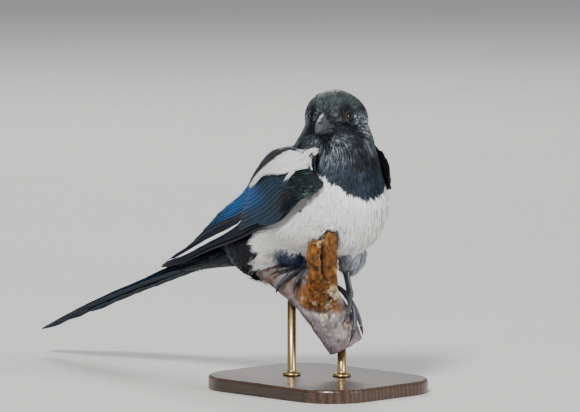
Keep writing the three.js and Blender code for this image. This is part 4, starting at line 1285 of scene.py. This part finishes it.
def base_mesh():
    """A flat board with rounded corners and a softened upper edge, as big as its solid."""
    low, high = (np.array(corner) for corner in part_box("stand_base"))
    bm = bmesh.new()
    bmesh.ops.create_cube(bm, size=1)
    bmesh.ops.scale(bm, vec=tuple(high - low), verts=bm.verts)
    bmesh.ops.translate(bm, vec=tuple((high + low) / 2), verts=bm.verts)

    def rounded(edges, offset, segments):
        bmesh.ops.bevel(
            bm, geom=edges, offset=offset * MM, offset_type="OFFSET", segments=segments, profile=0.5,
            affect="EDGES", material=-1,
        )

    rounded([e for e in bm.edges if abs(e.verts[0].co.z - e.verts[1].co.z) > 1e-4], BASE_CORNER, 16)
    rounded([e for e in bm.edges if all(abs(v.co.z - high[2]) < 1e-6 for v in e.verts)], BASE_RIM, 5)
    return mesh_of(bm, "base")


# A rod's outline from its foot up: how far out from the rod's own side, and how high, in millimetres
ROD_FOOT = ((3.6, 0), (3.6, 1.2), (2.6, 2.2), (0.5, 2.6), (0, 3.6))


def rod_mesh(node_name):
    """A round rod with a small turned foot, spun from its outline."""
    low, high = (np.array(corner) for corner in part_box(node_name))
    centre = (low + high) / 2
    radius, top = (high[0] - low[0]) / 2, high[2] - 0.6 * MM
    foot = [(radius + out * MM, low[2] + up * MM) for out, up in ROD_FOOT]
    bm = bmesh.new()
    line = [bm.verts.new((r, 0, z)) for r, z in [(0, low[2]), *foot, (radius, top), (0, top)]]
    for a, b in zip(line, line[1:]):
        bm.edges.new((a, b))
    full_spin(bm, 48)
    bmesh.ops.translate(bm, vec=(centre[0], centre[1], 0), verts=bm.verts)
    bmesh.ops.recalc_face_normals(bm, faces=bm.faces)
    return mesh_of(bm, node_name)


# What a user would change

def length_property(name, description, default, precision=5):
    """A length, with its default in millimetres."""
    return FloatProperty(
        name=name, description=description, default=default * MM, min=0, subtype="DISTANCE", unit="LENGTH",
        precision=precision,
    )


def colour_property(name, description, default):
    return FloatVectorProperty(
        name=name, description=description, default=default, size=3, min=0, max=1, subtype="COLOR",
    )


def angle_property(name, description, degrees):
    return FloatProperty(
        name=name, description=description, default=math.radians(degrees), subtype="ANGLE", unit="ROTATION",
    )


def power_property(name, description, watts):
    return FloatProperty(
        name=name, description=description, default=watts, min=0, subtype="POWER", unit="POWER",
    )


def count_property(name, description, default, most=5000):
    return IntProperty(name=name, description=description, default=default, min=1, max=most)


class MagpieSizes(bpy.types.PropertyGroup):
    """Sizes of the feathers and the finer pieces."""
    feather_thickness: length_property("Feather thickness", "Thickness of each flight feather's vane", 0.3)
    bark_relief: length_property("Bark relief", "Height of the ridges in the bark", 0.55)
    body_spacing: length_property("Body tuft spacing", "Gap between the roots of the body's tufts", 2.1)
    head_spacing: length_property("Head tuft spacing", "Gap between the roots of the head's tufts", 1.15)
    strands: count_property("Strands", "Strands in each of the body's tufts", 7, 12)
    bristles: count_property("Bristles", "Bristles over the base of the bill", 520)


class MagpieColours(bpy.types.PropertyGroup):
    """Colours of the plumage, the bare parts and the stand."""
    wing_blue: colour_property("Wing blue", "Blue gloss in the middle of the wing", (0.008, 0.09, 0.27))
    wing_steel: colour_property("Wing steel", "Steel-blue gloss of the coverts", (0.023, 0.043, 0.066))
    wing_green: colour_property("Wing green", "Green gloss near the wing's upper edge", (0.008, 0.06, 0.085))
    wing_brown: colour_property("Wing brown", "Dull brown along the wing's lower edge", (0.026, 0.024, 0.022))
    primary: colour_property("Primaries", "Dark primaries", (0.007, 0.009, 0.015))
    shoulder: colour_property("Shoulder", "Dark green-brown of the smallest coverts", (0.011, 0.016, 0.015))
    tail: colour_property("Tail", "Gloss of the tail", (0.006, 0.012, 0.02))
    tail_edge: colour_property("Tail edge", "Gloss along the tail feathers' edges", (0.012, 0.028, 0.05))
    bill_dark: colour_property("Bill", "Dark horn of the bill", (0.009, 0.010, 0.012))
    # paler horn patches on the bill: partly greyer horn, partly a painted sheen
    bill_grey_and_sheen: colour_property("Bill highlights", "Greyer horn of the bill", (0.10, 0.11, 0.115))
    wood: colour_property("Base wood", "Varnished wood of the base", (0.10, 0.045, 0.02))


class MagpieStage(bpy.types.PropertyGroup):
    """Camera and light."""
    azimuth: angle_property("Azimuth", "Turn of the camera round the bird", 45)
    elevation: angle_property("Elevation", "Height of the camera over the bird", 6)
    distance: length_property("Distance", "From the camera to the bird", 5000, 2)
    key_power: power_property("Main light", "Power of the main light, in watts", 128)
    fill_power: power_property("Fill light", "Power of the fill light and of the back light, in watts", 40)


class MagpieOperator:
    bl_options = {"REGISTER", "UNDO"}

    @property
    def sizes(self):
        return bpy.context.scene.magpie_sizes

    @property
    def colours(self):
        return bpy.context.scene.magpie_colours


class MAGPIE_OT_skin_and_coat(MagpieOperator, bpy.types.Operator):
    """Build the skin and the coat of small feathers over it"""
    bl_idname = "magpie.skin_and_coat"
    bl_label = "Skin and Coat"

    def execute(self, context):
        mesh = build_skin()
        mesh.name = "skin"
        places = mesh_places(mesh)
        paint_plumage(mesh, whiteness(places), 0.3, tint(places))
        coat = plumage_material("Body feathers", 0.25)
        add_uv(mesh, "OFBake", unwrap(places))
        add_object("skin", mesh, coat, FLESH)
        grown, normals = sampled(mesh, 3.0)
        grow_coat(grown, normals, tree_of(mesh, places), coat, self.sizes)
        return {"FINISHED"}


WING_COVER = 14  # tufts under a wing that lies closer than this are left out


def coat_groups(places, sizes):
    """For each part of the coat: where it grows, the gap between its tufts, and the tufts' sizes."""
    off = places - HEAD_PLACE
    forward, height = off @ HEAD_FORWARD, off @ HEAD_UP
    head, thigh = head_share(places) > 0.5, thigh_share(places) > 0.5
    eye_gap = eye_gaps(places)
    near_eye = ease(14, 7, eye_gap)
    keep = (eye_gap > 5.9) & ~((forward > 24) & (height > -10) & head)
    vent = ahead_of_vent(places) < 0
    bib = (above_bib_edge(places) > -1) & ~head
    body = keep & ~head & ~bib & ~thigh
    fringe = ease(1.9, 2.8, np.abs(body_frame(places)[1])) * ease(60, 20, places[:, 2])
    face, hanging = ease(2, 20, forward), thigh_share(places)
    gap_head, gap = sizes.head_spacing / MM, sizes.body_spacing / MM
    return {
        "coat_head": (
            keep & head, gap_head, (7.0 - 3.0 * face) * (1 - 0.4 * near_eye), 0.8 - 0.22 * face,
            (0.85 - 0.35 * face) * (1 - 0.3 * near_eye), 0.2 - 0.15 * near_eye,
        ),
        "coat_neck": (keep & bib & ~thigh, 1.5, 9.5, 1.5, 1.2, 0.35),
        "coat_belly": (body & ~vent, gap, 14.0 + 5 * fringe, 2.4, 2.0 + 0.6 * fringe, 0.4 + 2.4 * fringe),
        "coat_vent": (body & vent, gap, 14.0, 2.6, 2.0, 0.5),
        "coat_thighs": (thigh, 1.35, 8.0 + 6 * hanging, 1.2, 1.3 + 0.6 * hanging, 0.6 + 1.6 * hanging),
    }


def grow_coat(places, normals, tree, coat, sizes):
    """Grows tufts at the places that the wings leave open, a piece for each part of the coat."""
    wing_trees = [tree_of(NODES[f"wing_{side}"].data) for side in ("left", "right")]
    white = whiteness(places)
    for number, (name, (mask, gap, *shape)) in enumerate(coat_groups(places, sizes).items()):
        rng = np.random.default_rng(SEED + number)
        index = np.nonzero(mask)[0]
        index = index[thinned(places[index], gap)]
        index = index[~covered(world(places[index]), normals[index], wing_trees, WING_COVER * MM)]
        spots, out = places[index], normals[index]
        turn = rng.normal(0, 0.12, (len(spots), 1))
        flow = lie(spots, out)
        flow = unit(flow + turn * np.cross(out, flow))
        shape = [np.broadcast_to(column, len(places))[index] for column in shape]
        size = tuft_sizes(len(index), *(column * rng.uniform(0.85, 1.15, len(index)) for column in shape))
        strands = 5 if name == "coat_head" else sizes.strands
        # the tint carries painted sheen and painted shade, streaks the painted highlights along the strands'
        # shafts
        colours = (white[index], tint(spots), streaks(spots))
        mesh = strand_mesh(name, tree, spots, out, flow, size, strands, rng, *colours)
        add_object(name, mesh, coat, smooth=False)


def wing_painters(colours):
    """How each tier of the wing is painted, feather by feather."""
    dark = np.array(colours.primary)
    gloss = {name: tuple(getattr(colours, f"wing_{name}")) for name in ("blue", "steel", "green", "brown")}
    gloss["dark"] = tuple(colours.primary)
    return {
        "primaries": lambda i: vane_paint(dark, dark * 2.6, 0.4 + 0.1 * (i % 2)),
        "secondaries": lambda i: vane_paint(0.75, 1.7, 0.45, gloss),
        "primary_coverts": lambda i: vane_paint(0.8, 1.7, 0.5, gloss),
        "alula": lambda i: vane_paint(dark, dark * 2, 0.5),
        "greater_coverts": lambda i: vane_paint(0.8, 1.6, 0.4 + 0.1 * (i % 3), gloss),
        "median_coverts": lambda i: vane_paint(0.8, 1.5, 0.4 + 0.1 * (i % 3), gloss),
    }


def lesser_painter_with_glints(shoulder):
    """Every seventh of the lesser coverts or so has a painted glint: a green edge standing for light caught
    on it.
    """
    def painter(row, column):
        green = (row * 5 + column * 3) % 7 == 0
        # painted glint: the green edge stands for light caught on the feather
        return vane_paint(shoulder, shoulder + ((0.03, 0.11, 0.10) if green else (0.006, 0.012, 0.012)))

    return painter


class MAGPIE_OT_wings(MagpieOperator, bpy.types.Operator):
    """Build both folded wings, feather by feather"""
    bl_idname = "magpie.wings"
    bl_label = "Wings"

    def execute(self, context):
        flight = plumage_material("Wing gloss", 0.45, vane=True)
        soft = plumage_material("White scapulars", 0.2)
        dark = np.array(self.colours.primary)
        tiers = {name: tier_feathers(name, painter) for name, painter in wing_painters(self.colours).items()}
        primaries, secondaries, *coverts = tiers.values()
        lesser = lesser_feathers(lesser_painter_with_glints(np.array(self.colours.shoulder)))
        groups = {
            "flight_feathers": (primaries + secondaries + [stripe_feather()], 16),
            "wing_coverts": (sum(coverts, []) + lesser, 9),
        }
        for side, mirror in (("right", False), ("left", True)):
            for name, (feathers, rows) in groups.items():
                mesh = feather_mesh(f"{name}_{side}", feathers, rows, mirror)
                nodes = [f"wing_{side}"] if name == "flight_feathers" else ()
                piece = add_object(f"{name}_{side}", mesh, flight, nodes)
                thicken(piece, self.sizes.feather_thickness / MM)
            mesh, pad = scapular_coat(f"scapulars_{side}", mirror)
            add_object(f"scapulars_{side}", mesh, soft, smooth=False)
            thicken(add_object(f"scapular_pad_{side}", pad, soft), LINING)
            bed = wing_bed(f"wing_bed_{side}", mirror)
            paint_plumage(bed, 0, 0.3, dark)
            lining = plumage_material(f"Wing lining {side}", 0.1)
            thicken(add_object(f"wing_bed_{side}", bed, lining), LINING)
        return {"FINISHED"}


class MAGPIE_OT_tail(MagpieOperator, bpy.types.Operator):
    """Build the twelve tail feathers and the coverts at their roots"""
    bl_idname = "magpie.tail"
    bl_label = "Tail"

    def execute(self, context):
        gloss = plumage_material("Tail gloss", 0.0, vane=True, specular=0.01)
        feathers = tail_feathers(np.array(self.colours.tail), np.array(self.colours.tail_edge))
        mesh = feather_mesh("tail_feathers", feathers, 40)
        piece = add_object("tail_feathers", mesh, gloss, ["tail"])
        thicken(piece, self.sizes.feather_thickness / MM)
        sleeve = tail_sleeve()
        paint_plumage(sleeve, 0, 0.3, (0.014, 0.017, 0.022))
        coat = plumage_material("Tail coverts", 0.25)
        add_object("tail_root", sleeve, coat)
        places, normals = sampled(sleeve, 2.0)
        keep = np.nonzero((places - TAIL_ROOT) @ TAIL_BACK < 52)[0]
        keep = keep[thinned(places[keep], 2.6)]
        mesh = strand_mesh(
            "tail_coverts", tree_of(sleeve, mesh_places(sleeve)), places[keep], normals[keep],
            np.tile(TAIL_BACK, (len(keep), 1)), tuft_sizes(len(keep), 17.0, 2.8, 1.1, 0.2), 7,
            np.random.default_rng(SEED + 30), 0.0, (0.012, 0.02, 0.022),
        )
        add_object("tail_coverts", mesh, coat, smooth=False)
        return {"FINISHED"}


class MAGPIE_OT_eyes(MagpieOperator, bpy.types.Operator):
    """Build the wet eyes and the bare rings of skin round them"""
    bl_idname = "magpie.eyes"
    bl_label = "Eyes"

    def execute(self, context):
        wet, lid = eye_material(), lid_material()
        for side in ("left", "right"):
            add_object(f"eyeball_{side}", eye_ball(side), wet, [f"eye_{side}"])
            add_object(f"eyelid_{side}", eyelid(side), lid)
        return {"FINISHED"}


class MAGPIE_OT_bill(MagpieOperator, bpy.types.Operator):
    """Build the bill and the bristles over its base"""
    bl_idname = "magpie.bill"
    bl_label = "Bill"

    def execute(self, context):
        horn = horn_material("Horn", tuple(self.colours.bill_dark), tuple(self.colours.bill_grey_and_sheen))
        corners = [head_point(16, left, -4.2) for left in (7.5, -7.5)]
        for half in ("upper", "lower"):
            mesh = remeshed([f"bill_{half}"], 0.4, 4)
            places = mesh_places(mesh)
            gap = np.min([np.linalg.norm(places - corner, axis=1) for corner in corners], axis=0)
            gape = ease(3.2, 1.2, gap) * ease(-0.1, 0.25, rough(places, 1.1, 12))
            paint(mesh, "Gape", gape[:, None] * np.ones(3))
            add_object(f"{half}_mandible", mesh, horn, [f"bill_{half}"])
        solids = mesh_of(merged_copy(["bill_upper", "head"]), "face")
        tree = tree_of(solids, mesh_places(solids))
        bpy.data.meshes.remove(solids)
        bristles = bristle_mesh(tree, np.random.default_rng(SEED + 40), self.sizes.bristles)
        add_object("bristles", bristles, plumage_material("Bristles", 0.1), smooth=False)
        return {"FINISHED"}


class MAGPIE_OT_legs(MagpieOperator, bpy.types.Operator):
    """Build the scaled legs and toes and the claws"""
    bl_idname = "magpie.legs"
    bl_label = "Legs"

    def execute(self, context):
        scales = leg_material()
        horn = horn_material("Claw horn", (0.006, 0.006, 0.007), (0.03, 0.032, 0.036), 0.28)
        for side in ("left", "right"):
            leg = [f"shank_{side}", f"foot_{side}"]
            claws = [f"claw_{side}_{toe}" for toe in ("inner", "middle", "outer", "hind")]
            add_object(f"leg_{side}", limb(leg, f"leg_{side}", 0.45, 3), scales, leg)
            add_object(f"claws_{side}", limb(claws, f"claws_{side}", 0.25, 2), horn, claws)
        return {"FINISHED"}


class MAGPIE_OT_perch(MagpieOperator, bpy.types.Operator):
    """Build the cut length of branch with its bark and broken stub"""
    bl_idname = "magpie.perch"
    bl_label = "Perch"

    def execute(self, context):
        add_object("branch", perch_mesh(self.sizes.bark_relief / MM), bark_material(), ["perch"])
        return {"FINISHED"}


class MAGPIE_OT_stand(MagpieOperator, bpy.types.Operator):
    """Build the varnished base and the brass rods"""
    bl_idname = "magpie.stand"
    bl_label = "Stand"

    def execute(self, context):
        board = varnished_material(tuple(self.colours.wood))
        add_object("base", base_mesh(), board, ["stand_base"], smooth=False)
        brass = brass_material()
        for place in ("rear", "front"):
            node = f"stand_rod_{place}"
            add_object(f"rod_{place}", rod_mesh(node), brass, [node])
        return {"FINISHED"}


class MAGPIE_OT_stage(MagpieOperator, bpy.types.Operator):
    """Lay the pale floor, set soft light and place the camera as in the photograph"""
    bl_idname = "magpie.stage"
    bl_label = "Stage"

    def execute(self, context):
        stage = context.scene.magpie_stage
        floor_stage()
        camera(stage)
        lamp("main_light", (1.2, -2.2, 2.6), 0.7, stage.key_power)
        lamp("fill_light", (2.6, 0.6, 1.0), 0.8, stage.fill_power)
        lamp("back_light", (-2.0, 1.6, 1.8), 1.2, stage.fill_power)
        world_light()
        return {"FINISHED"}


def floor_stage():
    """A wide pale floor under the stand."""
    bm = bmesh.new()
    bmesh.ops.create_grid(bm, x_segments=2, y_segments=2, size=12)
    mesh = mesh_of(bm, "floor")
    mesh.materials.append(floor_material())
    floor = bpy.data.objects.new("floor", mesh)
    bpy.context.scene.collection.objects.link(floor)


CAMERA_TARGET = (-20.7, 58.5)  # right and up, as the camera sees them, from between the feet
SENSOR = 36
PHOTO_WIDTH = 580
MM_PER_PIXEL = 0.74


def camera(stage):
    """A long lens at the photograph's angle, with the photograph's frame."""
    turn, rise = stage.azimuth, stage.elevation
    away = np.array([math.sin(turn) * math.cos(rise), -math.cos(turn) * math.cos(rise), math.sin(rise)])
    right = np.array([math.cos(turn), math.sin(turn), 0])
    up = np.cross(away, right)
    target = world(right * CAMERA_TARGET[0] + up * CAMERA_TARGET[1])
    data = bpy.data.cameras.new("camera")
    data.sensor_width = SENSOR
    data.lens = SENSOR * stage.distance / (PHOTO_WIDTH * MM_PER_PIXEL * MM)
    data.clip_end = 50
    eye = bpy.data.objects.new("camera", data)
    place = Matrix.Translation(target + away * stage.distance)
    eye.matrix_world = place @ Matrix((right, up, away)).transposed().to_4x4()
    bpy.context.scene.collection.objects.link(eye)
    bpy.context.scene.camera = eye


def lamp(name, place, size, power):
    data = bpy.data.lights.new(name, "AREA")
    data.shape, data.size, data.energy = "DISK", size, power
    light = bpy.data.objects.new(name, data)
    light.location = place
    aim = Vector((0, 0, 0.12)) - Vector(place)
    light.rotation_euler = aim.to_track_quat("-Z", "Y").to_euler()
    bpy.context.scene.collection.objects.link(light)


def world_light():
    sky = bpy.data.worlds.new("studio")
    bpy.context.scene.world = sky
    sky.use_nodes = True
    background = sky.node_tree.nodes["Background"]
    background.inputs["Color"].default_value = (0.93, 0.95, 1.0, 1)
    background.inputs["Strength"].default_value = 0.4


OPERATORS = (
    MAGPIE_OT_skin_and_coat, MAGPIE_OT_wings, MAGPIE_OT_tail, MAGPIE_OT_eyes, MAGPIE_OT_bill, MAGPIE_OT_legs,
    MAGPIE_OT_perch, MAGPIE_OT_stand, MAGPIE_OT_stage,
)


class MAGPIE_PT_build(bpy.types.Panel):
    """Lists the sizes, colours and builders of the magpie"""
    bl_idname = "MAGPIE_PT_build"
    bl_label = "Magpie"
    bl_space_type = "VIEW_3D"
    bl_region_type = "UI"
    bl_category = "Magpie"

    def draw(self, context):
        layout = self.layout
        for group in (context.scene.magpie_sizes, context.scene.magpie_colours, context.scene.magpie_stage):
            column = layout.column(align=True)
            for name in group.__annotations__:
                column.prop(group, name)
        for operator in OPERATORS:
            layout.operator(operator.bl_idname)


GROUPS = {"magpie_sizes": MagpieSizes, "magpie_colours": MagpieColours, "magpie_stage": MagpieStage}


def register():
    for cls in (*GROUPS.values(), *OPERATORS, MAGPIE_PT_build):
        bpy.utils.register_class(cls)
    for name, group in GROUPS.items():
        setattr(bpy.types.Scene, name, PointerProperty(type=group))


def unregister():
    for name in GROUPS:
        delattr(bpy.types.Scene, name)
    for cls in reversed((*GROUPS.values(), *OPERATORS, MAGPIE_PT_build)):
        bpy.utils.unregister_class(cls)


def main():
    register()
    for operator in OPERATORS:
        module, name = operator.bl_idname.split(".")
        getattr(getattr(bpy.ops, module), name)()


if __name__ == "__main__":
    main()
